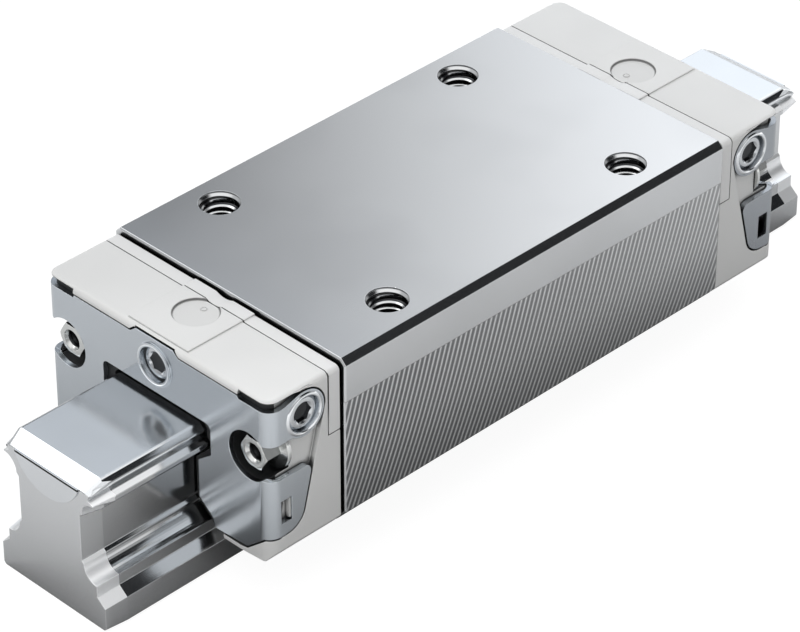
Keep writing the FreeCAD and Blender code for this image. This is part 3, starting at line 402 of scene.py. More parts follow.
def milled_and_ground():
    """Ground where the face looks up or lies in the band, milled arcs on the rest of the flank; painted
    shade darkens the milled flank towards the bottom, its troughs towards the front and the crevices, and a
    painted highlight pales the edges.
    """
    material, tree, surface = new_material("milled_and_ground_steel")
    coordinates = put(tree, "TexCoord").outputs
    place = put(tree, "SeparateXYZ", {"Vector": coordinates["Object"]}).outputs
    facing = put(tree, "SeparateXYZ", {"Vector": coordinates["Normal"]}).outputs
    side = maths(tree, "ABSOLUTE", facing["Y"])
    on_side = maths(tree, "GREATER_THAN", side, 0.9)
    below = maths(tree, "LESS_THAN", place["Z"], BAND_EDGE)
    flank = maths(tree, "MULTIPLY", on_side, below)
    drop = maths(tree, "SUBTRACT", place["Z"], MILL_CENTRE)
    square = maths(tree, "MULTIPLY", drop, drop)
    rest = maths(tree, "SUBTRACT", MILL_RADIUS ** 2, square)
    reach = maths(tree, "SQRT", rest)
    centre = maths(tree, "SUBTRACT", place["X"], reach)
    wave = maths(tree, "SINE", maths(tree, "MULTIPLY", centre, 2 * math.pi / MILL_FEED))
    swell = spread(tree, wave, 0.0, 1.0, -1.0, 1.0)
    ridge = maths(tree, "POWER", swell, MILL_SHARPNESS)
    marks = group_in(tree, FINISH_MARKS, {"Stretch": (25.0, 3200.0, 3200.0), "Cloud Size": 40.0})
    rim = group_in(tree, EDGE_HIGHLIGHT, {"Width": 0.25 * MM})["Mask"]

    ground = blend_colour(tree, spread(tree, marks["Cloud"], 0.0, 1.0, 0.4, 0.6), *GROUND_TONES)
    # painted shade: the troughs of the milled arcs are darker towards the front
    painted_light = spread(tree, place["X"], 0.0, 1.0, PAINTED_SHADE_FRONT, PAINTED_SHADE_REAR)
    trough = blend_colour(tree, painted_light, *TROUGH_TONES)
    cut = blend_colour(tree, ridge, trough, RIDGE_TONE)
    shaded = blend_colour(tree, ridge, *SHADED_TONES)
    # painted shade: the milled flank is darker towards the bottom
    shade = spread(tree, place["Z"], 1.0, 0.0, SHADED_BELOW, CLEAR_ABOVE)
    body = blend_colour(tree, flank, ground, blend_colour(tree, shade, cut, shaded))
    # painted highlight: paler along the edges
    open_colour = blend_colour(tree, rim, body, EDGE_HIGHLIGHT_TONE)
    # painted shade: dark deep in crevices and at the joints
    shade_in_crevices = group_in(tree, CREVICE_SHADE, {"Reach": 0.9 * MM, "Open": 0.72, "Closed": 0.40})["Mask"]
    tree.links.new(blend_colour(tree, shade_in_crevices, open_colour, CREVICE_SHADE_COLOUR), surface.inputs["Base Color"])
    surface.inputs["Metallic"].default_value = 1.0
    tree.links.new(spread(tree, flank, GROUND_ROUGHNESS, MILLED_ROUGHNESS), surface.inputs["Roughness"])
    cuts = maths(tree, "MULTIPLY", ridge, flank)
    deep = put(tree, "Bump", {"Strength": 0.8, "Distance": MILL_DEPTH, "Height": cuts})
    fine = put(tree, "Bump", {"Strength": 0.5, "Distance": GRIND_DEPTH, "Height": marks["Height"],
                              "Normal": deep.outputs["Normal"]})
    tree.links.new(fine.outputs["Normal"], surface.inputs["Normal"])
    return material


STEEL_END = 39.75
END_CHAMFER = 0.5
END_EASE = 0.2
MATE_REACH = 1.6 * END_CHAMFER * MM
TOUCH = 0.02


def finer_ends(shape):
    """Makes the chamfer round each end face of the steel finer."""
    inner, outer = [[vertex for vertex in shape.verts if abs(abs(vertex.co.x / MM) - place) < TOUCH]
                    for place in (STEEL_END - END_CHAMFER, STEEL_END)]
    for vertex in outer:
        mates = [mate for mate in inner if mate.co.x * vertex.co.x > 0
                 and (mate.co.yz - vertex.co.yz).length < MATE_REACH]
        if mates:
            mate = min(mates, key=lambda other: (other.co.yz - vertex.co.yz).length)
            vertex.co.yz = mate.co.yz + (vertex.co.yz - mate.co.yz) * (END_EASE / END_CHAMFER)
    for vertex in inner:
        vertex.co.x = math.copysign((STEEL_END - END_EASE) * MM, vertex.co.x)


THREAD_PLACES = [(along, across) for along in (-25.0, 25.0) for across in (-17.5, 17.5)]
CAD_MOUTH_REACH = 4.0
MOUTH_RADIUS = 3.16
BORE_REACH = 3.3
BORE_FLOOR = 15.0
BODY_TOP = 36.0
BODY_EDGE = 0.07 * MM
UPRIGHT = 0.2


def from_thread(spot):
    """The nearest thread axis and the distance from it, seen from above."""
    axis = min(THREAD_PLACES,
               key=lambda place: math.hypot(spot.x / MM - place[0], spot.y / MM - place[1]))
    return axis, math.hypot(spot.x / MM - axis[0], spot.y / MM - axis[1])


def body_shape(shape):
    """Finer end chamfers and narrower mouths of the tapped holes."""
    finer_ends(shape)
    for vertex in shape.verts:
        (along, across), away = from_thread(vertex.co)
        if vertex.co.z > (BODY_TOP - TOUCH) * MM and MOUTH_RADIUS < away < CAD_MOUTH_REACH:
            share = MOUTH_RADIUS / away
            vertex.co.x = (along + (vertex.co.x / MM - along) * share) * MM
            vertex.co.y = (across + (vertex.co.y / MM - across) * share) * MM


BODY_STEEL = milled_and_ground()
BORE_SHADE_STEEL = metal("painted_bore_shade_steel", (0.045, 0.047, 0.05), (0.12, 0.12, 0.12), 0.25,
                     (500.0, 500.0, 500.0), 0.002 * MM, edge=0.1 * MM)
steel = softened("block_body", "steel_body", "block", BODY_STEEL, BODY_EDGE,
                 reshape=body_shape)
steel.data.materials.append(BORE_SHADE_STEEL)
# painted shade: the bore walls get the dark steel, for the shade deep in the tapped holes
for face in steel.data.polygons:
    in_bore = from_thread(face.center)[1] < BORE_REACH and face.center.z > BORE_FLOOR * MM
    if in_bore and abs(face.normal.z) < UPRIGHT:
        face.material_index = 1

# Tapped holes
# Four M6 threads with a pitch of 1 mm, cut in the steel below a countersink: bright on the
# crests and painted dark between them, for the shade deep in the hole.

THREAD_TOP = 35.2
THREAD_END = 27.3
THREAD_ROOT = 2.99
THREAD_CREST = 2.46
THREAD_PITCH = 1.0
STEPS_A_TURN = 48
FADE_STEPS = STEPS_A_TURN * 0.4
RIDGE_FALLS = (0.02, 0.20, 0.38, 0.56, 0.96)
SHARP_THREAD_ANGLE = 35.0


def piece_from(shape, name, materials, sharp=None, node=None):
    """Makes a piece of the block from a bmesh, smooth up to the sharp angle."""
    mesh = bpy.data.meshes.new(name)
    shape.to_mesh(mesh)
    shape.free()
    mesh.shade_smooth()
    if sharp:
        mesh.set_sharp_from_angle(angle=math.radians(sharp))
    for material in materials:
        mesh.materials.append(material)
    piece = bpy.data.objects.new(name, mesh)
    bpy.context.scene.collection.objects.link(piece)
    if node:
        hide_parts(node)
    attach(piece, "block")


def thread_turns(name, along, across):
    """One continuous helical ridge that fades in at its first turn and out at its last."""
    shape = bmesh.new()
    steps = int((THREAD_TOP - THREAD_END) / THREAD_PITCH * STEPS_A_TURN)
    rows = []
    for step in range(steps + 1):
        angle = 2 * math.pi * step / STEPS_A_TURN
        top = THREAD_TOP - THREAD_PITCH * step / STEPS_A_TURN
        rise = min(1.0, step / FADE_STEPS, (steps - step) / FADE_STEPS)
        crest = THREAD_ROOT - (THREAD_ROOT - THREAD_CREST) * rise
        radii = (THREAD_ROOT, (THREAD_ROOT + crest) / 2, crest, crest, THREAD_ROOT)
        row = []
        for radius, fall in zip(radii, RIDGE_FALLS):
            spot = (along + radius * math.cos(angle), across + radius * math.sin(angle),
                    top - fall * THREAD_PITCH)
            row.append(shape.verts.new(Vector(spot) * MM))
        rows.append(row)
    for row, following in zip(rows, rows[1:]):
        for index in range(4):
            flank = shape.faces.new((row[index], row[index + 1], following[index + 1], following[index]))
            # painted shade: all but one flank get the dark steel, for the shade in the hole
            flank.material_index = int(index != 1)
        shape.faces.new((row[4], row[0], following[0], following[4]))
    shape.faces.new(rows[0])
    shape.faces.new(rows[-1][::-1])
    bmesh.ops.recalc_face_normals(shape, faces=shape.faces)
    piece_from(shape, name, (THREAD_STEEL, BORE_SHADE_STEEL), sharp=SHARP_THREAD_ANGLE)


THREAD_STEEL = metal("cut_thread_steel", (0.62, 0.63, 0.64), (0.9, 0.9, 0.9), 0.16,
                     (700.0, 700.0, 2500.0), 0.002 * MM)
for number, (along, across) in enumerate(THREAD_PLACES, 1):
    thread_turns(f"thread_turns_{number}", along, across)

# Inside the block
# Hardened track inserts, plastic ball guides, return tubes and deflectors, and the rubber side
# seals under the steel: all hidden once the block is put together.

MOULD_CLOUD_SIZE = 45.0
MOULD_EDGE = {"Width": 0.3 * MM, "Gain": 1.2}
MOULD_BUMP = 0.4
CLOUDED_MOULD_TONE = 0.94
CREVICE_SHADE_TONE = 0.05


def moulded(name, colour, roughness, grain, depth, marked=None):
    """Moulded plastic or rubber: the fine grain of the mould and a faint unevenness of tone, with a
    painted highlight along the edges and painted shade in crevices; a function may put marks of its own on
    the colour and keep the painted shade out of them."""
    material, tree, surface = new_material(name)
    marks = group_in(tree, FINISH_MARKS, {"Stretch": (grain, grain, grain), "Cloud Size": MOULD_CLOUD_SIZE})
    rim = group_in(tree, EDGE_HIGHLIGHT, MOULD_EDGE)["Mask"]
    tone = spread(tree, marks["Cloud"], 0.0, 1.0, start=0.35, end=0.65)
    plain = blend_colour(tree, tone, colour, tuple(CLOUDED_MOULD_TONE * part for part in colour))
    # painted highlight: a paler colour along the edges
    light = tuple(min(1.0, 1.06 * part + 0.01) for part in colour)
    open_colour = blend_colour(tree, rim, plain, light)
    # painted shade: dark deep in slits, pockets and inner corners
    shade_in_crevices = group_in(tree, CREVICE_SHADE, {"Reach": 1.4 * MM})["Mask"]
    if marked:
        open_colour, shade_in_crevices = marked(tree, colour, open_colour, shade_in_crevices)
    crevice_colour = tuple(CREVICE_SHADE_TONE * part for part in colour)
    tree.links.new(blend_colour(tree, shade_in_crevices, open_colour, crevice_colour), surface.inputs["Base Color"])
    rough = spread(tree, marks["Cloud"], roughness * 0.9, roughness * 1.1, start=0.3, end=0.7)
    tree.links.new(rough, surface.inputs["Roughness"])
    bump = put(tree, "Bump", {"Strength": MOULD_BUMP, "Distance": depth, "Height": marks["Height"]})
    tree.links.new(bump.outputs["Normal"], surface.inputs["Normal"])
    return material


def dress(node, material):
    """Gives a CAD node that keeps its own shape its material."""
    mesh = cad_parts[node].data
    mesh.materials.clear()
    mesh.materials.append(material)


HARD_STEEL = metal("hardened_steel", (0.6, 0.6, 0.61), (0.8, 0.8, 0.8), 0.18,
                   (10.0, 2000.0, 2000.0), 0.003 * MM)
GUIDE_PLASTIC = moulded("guide_plastic", (0.16, 0.17, 0.18), 0.45, 1500.0, 0.01 * MM)
BLACK_RUBBER = moulded("black_rubber", (0.012, 0.013, 0.014), 0.55, 1800.0, 0.01 * MM)
HIDDEN = {"track_insert": HARD_STEEL, "ball_guide": GUIDE_PLASTIC, "return_tube": GUIDE_PLASTIC,
          "side_seal": BLACK_RUBBER, "ball_deflectors": GUIDE_PLASTIC}
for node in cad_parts:
    for part, material in HIDDEN.items():
        if part in node:
            dress(node, material)

# Ball rows
# Bearing-steel balls, ground and lapped, that roll between the rail's grooves and the inserts.

BALL_RADIUS = 2.381 * MM
BALL_PITCH = 5.2 * MM
BALLS_IN_ROW = 15
BALL_STEEL = metal("ball_steel", (0.75, 0.75, 0.76), (0.85, 0.85, 0.85), 0.08,
                   (300.0, 300.0, 300.0), 0.0005 * MM)


def row_of_balls(node):
    """Fifteen balls in line where the node's bar lies."""
    low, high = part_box(node)
    centre = (Vector(low) + Vector(high)) / 2
    shape = bmesh.new()
    for number in range(BALLS_IN_ROW):
        along = (number - (BALLS_IN_ROW - 1) / 2) * BALL_PITCH
        place = Matrix.Translation(centre + Vector((along, 0, 0)))
        bmesh.ops.create_icosphere(shape, subdivisions=3, radius=BALL_RADIUS, matrix=place)
    piece_from(shape, node + "_balls", (BALL_STEEL,), node=node)


for layer in ("upper", "lower"):
    for side in ("left", "right"):
        row_of_balls(f"ball_row_{layer}_{side}")

# Base plates and end caps
# Injection-moulded in pale plastic with a satin surface; the base plate lies against the steel
# and the cap carries the plate, the seal and the lubrication ports.

DIMPLE_PLACE = 45.8
DIMPLE_GROOVE_RADIUS = 3.44
DIMPLE_FLOOR_RADIUS = 3.04
DIMPLE_LEVEL = 34.5
GROOVE_WIDTH = 0.16
GROOVE_SHADE_TONE = 0.22
DIMPLE_SHADE_TONE = 0.92


def painted_dimple_shade(tree, colour, open_colour, shade_in_crevices):
    """Painted shade: a fine dark ring round the cap's dimple, where the shadow of its groove falls, and its
    floor painted a shade darker, kept free of the painted crevice shade.
    """
    place = put(tree, "SeparateXYZ", {"Vector": put(tree, "TexCoord").outputs["Object"]}).outputs
    off = maths(tree, "SUBTRACT", maths(tree, "ABSOLUTE", place["X"]), DIMPLE_PLACE * MM)
    spot = put(tree, "CombineXYZ", {"X": off, "Y": place["Y"]}).outputs["Vector"]
    away = put(tree, "VectorMath", {0: spot}, operation="LENGTH").outputs["Value"]
    miss = maths(tree, "ABSOLUTE", maths(tree, "SUBTRACT", away, DIMPLE_GROOVE_RADIUS * MM))
    high = maths(tree, "GREATER_THAN", place["Z"], DIMPLE_LEVEL * MM)
    ring = spread(tree, miss, 1.0, 0.0, 0.0, GROOVE_WIDTH * MM)
    groove_shade = maths(tree, "MULTIPLY", ring, high)
    within = maths(tree, "MULTIPLY", maths(tree, "LESS_THAN", away, DIMPLE_FLOOR_RADIUS * MM), high)
    # painted shade: the dimple's floor a shade darker and a dark ring round it
    open_colour = blend_colour(tree, within, open_colour, tuple(DIMPLE_SHADE_TONE * part for part in colour))
    open_colour = blend_colour(tree, groove_shade, open_colour, tuple(GROOVE_SHADE_TONE * part for part in colour))
    return open_colour, maths(tree, "SUBTRACT", shade_in_crevices, within, clamp=True)


CAP_PLASTIC = moulded("cap_plastic", (0.82, 0.82, 0.81), 0.42, 1400.0, 0.006 * MM,
                      marked=painted_dimple_shade)
BASE_PLASTIC = moulded("base_plastic", (0.86, 0.86, 0.855), 0.38, 1400.0, 0.006 * MM)
CAP_EDGE = 0.15 * MM
CAP_FACE = 53.95
CAP_SIDE = 23.4
CAP_CORNER = 2.1
PLATE_BACK = 53.05
POCKET_RADIUS = 4.15
POCKET_FLOOR = 49.35
SCREW_SIDE = 19.15
SCREW_RISE = 24.5
POCKET_SLACK = 0.1
SEAT_SLACK = 0.06
FLOOR_SLACK = 0.05
BEND_DEPTHS = (0.6, 1.4)
RECESS_TOP = 34.9
RIM_ROUND = 0.912
RIM_CENTRE = (53.05, 34.3)
RIM_ARC = math.radians(56.0)
RIM_STEPS = 8
RIM_LIP_FOOT = 34.15
RIM_LIP_BACK = PLATE_BACK + 0.05
RIM_LIP_ENDS = ((5.15, -1.2), (17.15, 0.1))
SHARP_TURNED_ANGLE = 28.0
PLATE_TOP = 33.86
SHADE_BLOCK_FACE = CAP_FACE - 0.08


def depth_in_cap(spot):
    """How far a point lies inside the cap's rounded outline, seen from above."""
    along = abs(spot.x) - (CAP_FACE - CAP_CORNER)
    side = abs(spot.y) - (CAP_SIDE - CAP_CORNER)
    if along > 0 and side > 0:
        return CAP_CORNER - math.hypot(along, side)
    return CAP_CORNER - max(along, side)


def shade_gaps_black(piece):
    """Paints what lies behind the plate, the screw pockets and the turned corners of the recess black with
    the seal's rubber material, as painted shade in these gaps.
    """
    piece.data.materials.append(BLACK_RUBBER)
    for face in piece.data.polygons:
        spots = [piece.data.vertices[index].co / MM for index in face.vertices]
        ways = [abs(spot.x) for spot in spots]
        seat = (min(ways) > PLATE_BACK - SEAT_SLACK and max(ways) < PLATE_BACK + SEAT_SLACK
                and face.center.z < RECESS_TOP * MM)
        from_screw = [math.hypot(abs(spot.y) - SCREW_SIDE, spot.z - SCREW_RISE) for spot in spots]
        pocket = all(abs(away - POCKET_RADIUS) < POCKET_SLACK for away in from_screw)
        bottom = max(ways) < POCKET_FLOOR + FLOOR_SLACK and min(ways) > POCKET_FLOOR - FLOOR_SLACK
        turned = abs(face.normal.x) > 0.05 and abs(face.normal.y) > 0.05 and abs(face.normal.z) < 0.02
        corner = turned and all(BEND_DEPTHS[0] < depth_in_cap(spot) < BEND_DEPTHS[1] for spot in spots)
        if seat or pocket or bottom or corner:
            face.material_index = 1


def rim_lip(name, way):
    """The cap's rim hangs down over the plate's top edge between the tongue and the corners, and a
    block of the black rubber material fills what is left between them, as painted shade in the slit."""
    shape = bmesh.new()
    lip = [(RIM_LIP_BACK, RIM_LIP_FOOT), (CAP_FACE, RIM_LIP_FOOT)]
    for step in range(RIM_STEPS + 1):
        angle = RIM_ARC * step / RIM_STEPS
        lip.append((RIM_CENTRE[0] + RIM_ROUND * math.cos(angle),
                    RIM_CENTRE[1] + RIM_ROUND * math.sin(angle)))
    lip.append((RIM_LIP_BACK, lip[-1][1]))
    shade_block = [(RIM_LIP_BACK, PLATE_TOP), (SHADE_BLOCK_FACE, PLATE_TOP),
               (SHADE_BLOCK_FACE, RIM_LIP_FOOT), (RIM_LIP_BACK, RIM_LIP_FOOT)]
    for in_shade, section in enumerate((lip, shade_block)):
        for side in (-1, 1):
            ends = []
            for out, slope in RIM_LIP_ENDS:
                spots = [(way * along, side * (out + slope * (rise - RIM_LIP_FOOT)), rise)
                         for along, rise in section]
                ends.append([shape.verts.new(Vector(spot) * MM) for spot in spots])
            faces = [shape.faces.new(ends[0]), shape.faces.new(ends[1][::-1])]
            for index in range(len(section)):
                ahead = (index + 1) % len(section)
                faces.append(shape.faces.new((ends[0][index], ends[0][ahead],
                                              ends[1][ahead], ends[1][index])))
            for face in faces:
                face.material_index = in_shade
    bmesh.ops.recalc_face_normals(shape, faces=shape.faces)
    piece_from(shape, name, (CAP_PLASTIC, BLACK_RUBBER), sharp=SHARP_TURNED_ANGLE)


for end in ("front", "rear"):
    softened(f"{end}_base_moulding", f"{end}_base_plate", "block", BASE_PLASTIC,
             CAP_EDGE)
    cap = softened(f"{end}_cap_moulding", f"{end}_end_cap", "block", CAP_PLASTIC,
                   CAP_EDGE)
    shade_gaps_black(cap)
    rim_lip(f"{end}_cap_rim_lip", -1 if end == "front" else 1)

# Scraper plates
# Stainless sheet 0.9 mm thick, cold rolled, blanked and bent round the cap's corners; the rear
# plate's copy of the material is a little rougher and painted darker, as painted shade.

ROLLED = {"stretch": (60.0, 500.0, 60.0), "depth": 0.0008 * MM, "edge": 0.15 * MM}
PLATE_STEEL = metal("stainless_plate", (0.56, 0.595, 0.63), (0.84, 0.87, 0.90), 0.2, **ROLLED)
# painted shade: the rear plate's copy of the stainless is darker
SHADED_REAR_PLATE_STEEL = metal("stainless_plate_rear_shaded", (0.38, 0.40, 0.425), (0.60, 0.62, 0.64), 0.24,
                         **ROLLED)
PLATE_EDGE = 0.08 * MM
PLATE_REACH = 50.0
NOTCH_LOW = 21.42
NOTCH_HIGH = 27.38
NOTCH_INNER = 21.7


def open_notch(shape):
    """Takes away the thin points between the screw hole and the notch at the bend."""
    for height in (NOTCH_LOW, NOTCH_HIGH):
        geometry = shape.verts[:] + shape.edges[:] + shape.faces[:]
        bmesh.ops.bisect_plane(shape, geom=geometry, plane_co=(0, 0, height * MM), plane_no=(0, 0, 1),
                               dist=1e-7)
    doomed = []
    for face in shape.faces:
        centre = face.calc_center_median() / MM
        at_bend = abs(centre.y) > NOTCH_INNER and abs(centre.x) > PLATE_REACH
        if at_bend and NOTCH_LOW < centre.z < NOTCH_HIGH:
            doomed.append(face)
    bmesh.ops.delete(shape, geom=doomed, context="FACES")
    open_edges = [edge for edge in shape.edges if len(edge.link_faces) == 1]
    bmesh.ops.holes_fill(shape, edges=open_edges, sides=0)


for end, sheet in (("front", PLATE_STEEL), ("rear", SHADED_REAR_PLATE_STEEL)):
    softened(f"{end}_scraper", f"{end}_scraper_plate", "block", sheet, PLATE_EDGE,
             reshape=open_notch)

# End seals
# Black rubber behind each plate, with a lip all round the rail.

for end in ("front", "rear"):
    dress(f"{end}_end_seal", BLACK_RUBBER)

# Flange screws
# Hexagon screws with a flange, zinc plated, with a tapped bore in the chamfered head; two hold
# each cap to the steel.

SCREW_STEEL = metal("plated_screw_steel", (0.66, 0.67, 0.66), (0.9, 0.9, 0.9), 0.16,
                    (400.0, 400.0, 400.0), 0.002 * MM, edge=0.1 * MM)
HEAD_FACE = 53.0
HEAD_SEAT = 49.35
SHANK_END = 32.75
HEX_FLAT = 2.38
HEX_CROWN = 2.4
BORE_RADIUS = 1.3
BORE_PITCH = 0.5
BORE_CREST = 0.17
CROWN_SLOPE = 0.5
FLANGE_RADIUS = 3.95
SHANK_RADIUS = 2.0
ROUND_STEPS = 60
LEAST_DEPTH = 0.04


def hexagon(flat):
    """The radius of a hexagon at an angle, by the distance of its flats."""
    def radius(angle):
        turn = (angle % (math.pi / 3)) - math.pi / 6
        return flat / math.cos(turn)
    return radius


def crowned(flat, crown, slope):
    """Where a cone from the crown's circle meets the hexagon: the depth at an angle."""
    corner = hexagon(flat)
    return lambda angle: max(LEAST_DEPTH, (corner(angle) - crown) * slope)


def lathe(shape, rings, place, dark_rings):
    """Skins rings of (radius, depth), each a number or a function of the angle, about an axis;
    place turns (depth, across, up) into a point. The first rings are painted dark, for the shade in a bore."""
    rows = []
    for radius, depth in rings:
        row = []
        for step in range(ROUND_STEPS):
            angle = 2 * math.pi * step / ROUND_STEPS
            reach = radius(angle) if callable(radius) else radius
            deep = depth(angle) if callable(depth) else depth
            spot = place(deep, reach * math.cos(angle), reach * math.sin(angle))
            row.append(shape.verts.new(Vector(spot) * MM))
        rows.append(row)
    for number, (row, following) in enumerate(zip(rows, rows[1:])):
        for index in range(ROUND_STEPS):
            ahead = (index + 1) % ROUND_STEPS
            face = shape.faces.new((row[index], row[ahead], following[ahead], following[index]))
            face.material_index = int(number < dark_rings)
    shape.faces.new(rows[0][::-1]).material_index = 1
    shape.faces.new(rows[-1])


def turned_piece(name, node, material, shape):
    """Finishes a turned or wedge-shaped mesh as a piece of the block."""
    bmesh.ops.recalc_face_normals(shape, faces=shape.faces)
    piece_from(shape, name, (material, BORE_SHADE_STEEL), sharp=SHARP_TURNED_ANGLE, node=node)


def threaded_bore():
    """The bore's rings, from its drilled bottom up over the crests of its thread."""
    rings = [(0.05, 5.5), (BORE_RADIUS - 0.15, 4.9)]
    depth = 4.6
    while depth > 0.7:
        rings += [(BORE_RADIUS - 0.02, depth), (BORE_RADIUS - BORE_CREST, depth - 0.2)]
        depth -= BORE_PITCH
    return rings


def flange_screw_outside():
    """The rings from the bore's mouth out over the head and flange to the shank's tip."""
    return [
        (BORE_RADIUS - 0.02, 0.45),
        (BORE_RADIUS + 0.38, 0.0),
        (lambda angle: min(HEX_CROWN, hexagon(HEX_FLAT)(angle)) - 0.08, 0.0),
        (hexagon(HEX_FLAT), crowned(HEX_FLAT, HEX_CROWN, CROWN_SLOPE)),
        (hexagon(HEX_FLAT), 2.75),
        (2.75, 2.85),
        (FLANGE_RADIUS - 0.12, 3.05),
        (FLANGE_RADIUS, 3.2),
        (FLANGE_RADIUS, HEAD_FACE - HEAD_SEAT),
        (SHANK_RADIUS, HEAD_FACE - HEAD_SEAT),
        (SHANK_RADIUS, HEAD_FACE - SHANK_END - 0.5),
        (SHANK_RADIUS - 0.5, HEAD_FACE - SHANK_END),
    ]


for end, way in (("front", -1), ("rear", 1)):
    shape = bmesh.new()
    for side in (-1, 1):
        lathe(shape, threaded_bore() + flange_screw_outside(),
              lambda deep, across, up: (way * (HEAD_FACE - deep), side * SCREW_SIDE + across,
                                        SCREW_RISE + up),
              dark_rings=len(threaded_bore()))
    turned_piece(f"{end}_hexagon_screws", f"{end}_flange_screws", SCREW_STEEL, shape)

# Port screws
# Set screws with a hexagon socket close the lubrication ports at both ends.

PORT_STEEL = metal("blackened_socket_steel", (0.60, 0.62, 0.64), (0.92, 0.93, 0.94), 0.18,
                   (300.0, 300.0, 300.0), 0.002 * MM, edge=0.1 * MM)
PORT_RISE = 30.45
PORT_PLACE = 47.05
PORT_RADIUS = 2.8
PORT_FACE = 53.45
PORT_SIDE = 23.1
PORT_LENGTH = 5.0
SOCKET_FLAT = 1.47
SOCKET_MOUTH = SOCKET_FLAT / math.cos(math.pi / 6) + 0.12
SOCKET_CHAMFER = 0.7
SOCKET_RINGS = 2


def port_screw_rings():
    """From the socket's drilled bottom out over the chamfered face to the screw's end."""
    return [
        (0.05, 2.9),
        (SOCKET_FLAT - 0.05, 2.25),
        (hexagon(SOCKET_FLAT), 2.2),
        (hexagon(SOCKET_FLAT),
         lambda angle: (SOCKET_MOUTH - hexagon(SOCKET_FLAT)(angle)) * SOCKET_CHAMFER),
        (SOCKET_MOUTH, 0.0),
        (2.28, 0.0),
        (2.4, 0.05),
        (PORT_RADIUS, 0.45),
        (PORT_RADIUS, PORT_LENGTH - 0.4),
        (PORT_RADIUS - 0.4, PORT_LENGTH),
    ]


for end, way in (("front", -1), ("rear", 1)):
    shape = bmesh.new()
    lathe(shape, port_screw_rings(),
          lambda deep, across, up: (way * (PORT_FACE - deep), across, PORT_RISE + up),
          dark_rings=SOCKET_RINGS)
    turned_piece(f"{end}_centre_port_screw_set", f"{end}_centre_port_screw",
                 PORT_STEEL, shape)
    shape = bmesh.new()
    for side in (-1, 1):
        lathe(shape, port_screw_rings(),
              lambda deep, across, up: (way * PORT_PLACE + across, side * (PORT_SIDE - deep),
                                        PORT_RISE + up),
              dark_rings=SOCKET_RINGS)
    turned_piece(f"{end}_side_port_screw_set", f"{end}_side_port_screws",
                 PORT_STEEL, shape)

# Port collars
# A turned ring of bright steel stands round each lubrication port on the plate.

CENTRE_COLLAR_TOP = 54.32
SIDE_COLLAR_TOP = 23.62
CENTRE_COLLAR_STEP = 0.36
SIDE_COLLAR_STEP = 0.24
COLLAR_BORE = 2.9
COLLAR_STEEL = metal("bright_collar_steel", (0.80, 0.82, 0.84), (0.94, 0.95, 0.96), 0.1,
                     (300.0, 300.0, 300.0), 0.001 * MM, edge=0.08 * MM)


def collar_rings(step):
    """From inside the port out over the rounded crest to the foot on the plate."""
    return [(COLLAR_BORE, 1.1), (COLLAR_BORE, 0.16), (COLLAR_BORE + 0.08, 0.05), (COLLAR_BORE + 0.2, 0.0),
            (COLLAR_BORE + 0.34, 0.02), (COLLAR_BORE + 0.5, 0.12), (COLLAR_BORE + 0.62, step),
            (COLLAR_BORE + 0.62, 1.2)]


for end, way in (("front", -1), ("rear", 1)):
    shape = bmesh.new()
    lathe(shape, collar_rings(CENTRE_COLLAR_STEP),
          lambda deep, across, up: (way * (CENTRE_COLLAR_TOP - deep), across, PORT_RISE + up),
          dark_rings=0)
    for side in (-1, 1):
        lathe(shape, collar_rings(SIDE_COLLAR_STEP),
              lambda deep, across, up: (way * PORT_PLACE + across, side * (SIDE_COLLAR_TOP - deep),
                                        PORT_RISE + up),
              dark_rings=0)
    turned_piece(f"{end}_port_collars", None, COLLAR_STEEL, shape)

# Snap hooks
# Small wedges moulded on the cap that catch in the slots of the plate's lower lugs.

SNAP_HALF = 1.7
SNAP_RISE = 15.5
SNAP_WIDTH = 0.62
SNAP_PLACE = 50.15
SNAP_FOOT = 22.2
SNAP_TIP = 23.15
SNAP_OUTLINE = ((SNAP_PLACE, SNAP_FOOT), (SNAP_PLACE, SNAP_TIP - 0.35), (SNAP_PLACE - 0.15, SNAP_TIP),
                (SNAP_PLACE - SNAP_WIDTH, SNAP_TIP), (SNAP_PLACE - SNAP_WIDTH, SNAP_FOOT))

for end, way in (("front", -1), ("rear", 1)):
    shape = bmesh.new()
    for side in (-1, 1):
        low, high = [[shape.verts.new(Vector((way * along, side * out, rise)) * MM)
                      for along, out in SNAP_OUTLINE]
                     for rise in (SNAP_RISE - SNAP_HALF, SNAP_RISE + SNAP_HALF)]
        shape.faces.new(low)
        shape.faces.new(high[::-1])
        for index in range(len(SNAP_OUTLINE)):
            ahead = (index + 1) % len(SNAP_OUTLINE)
            shape.faces.new((low[index], low[ahead], high[ahead], high[index]))
    turned_piece(f"{end}_snap_hooks", None, CAP_PLASTIC, shape)

# Studio
# A pale floor that turns white to the camera, and a soft room, bright overhead, with a black part
# to the right, a grey one to the back left and a white one above it, which the metal mirrors.

FLOOR_HALF = 3.0
FLOOR_DROP = 0.05 * MM
SHADOW_REACH = 45.0 * MM
SHADOW_POWER = 1.7
FLOOR_GLOW = 0.93
FAINT_GLOW = 0.02


def grey(tone):
    """A neutral colour."""
    return (tone, tone, tone)


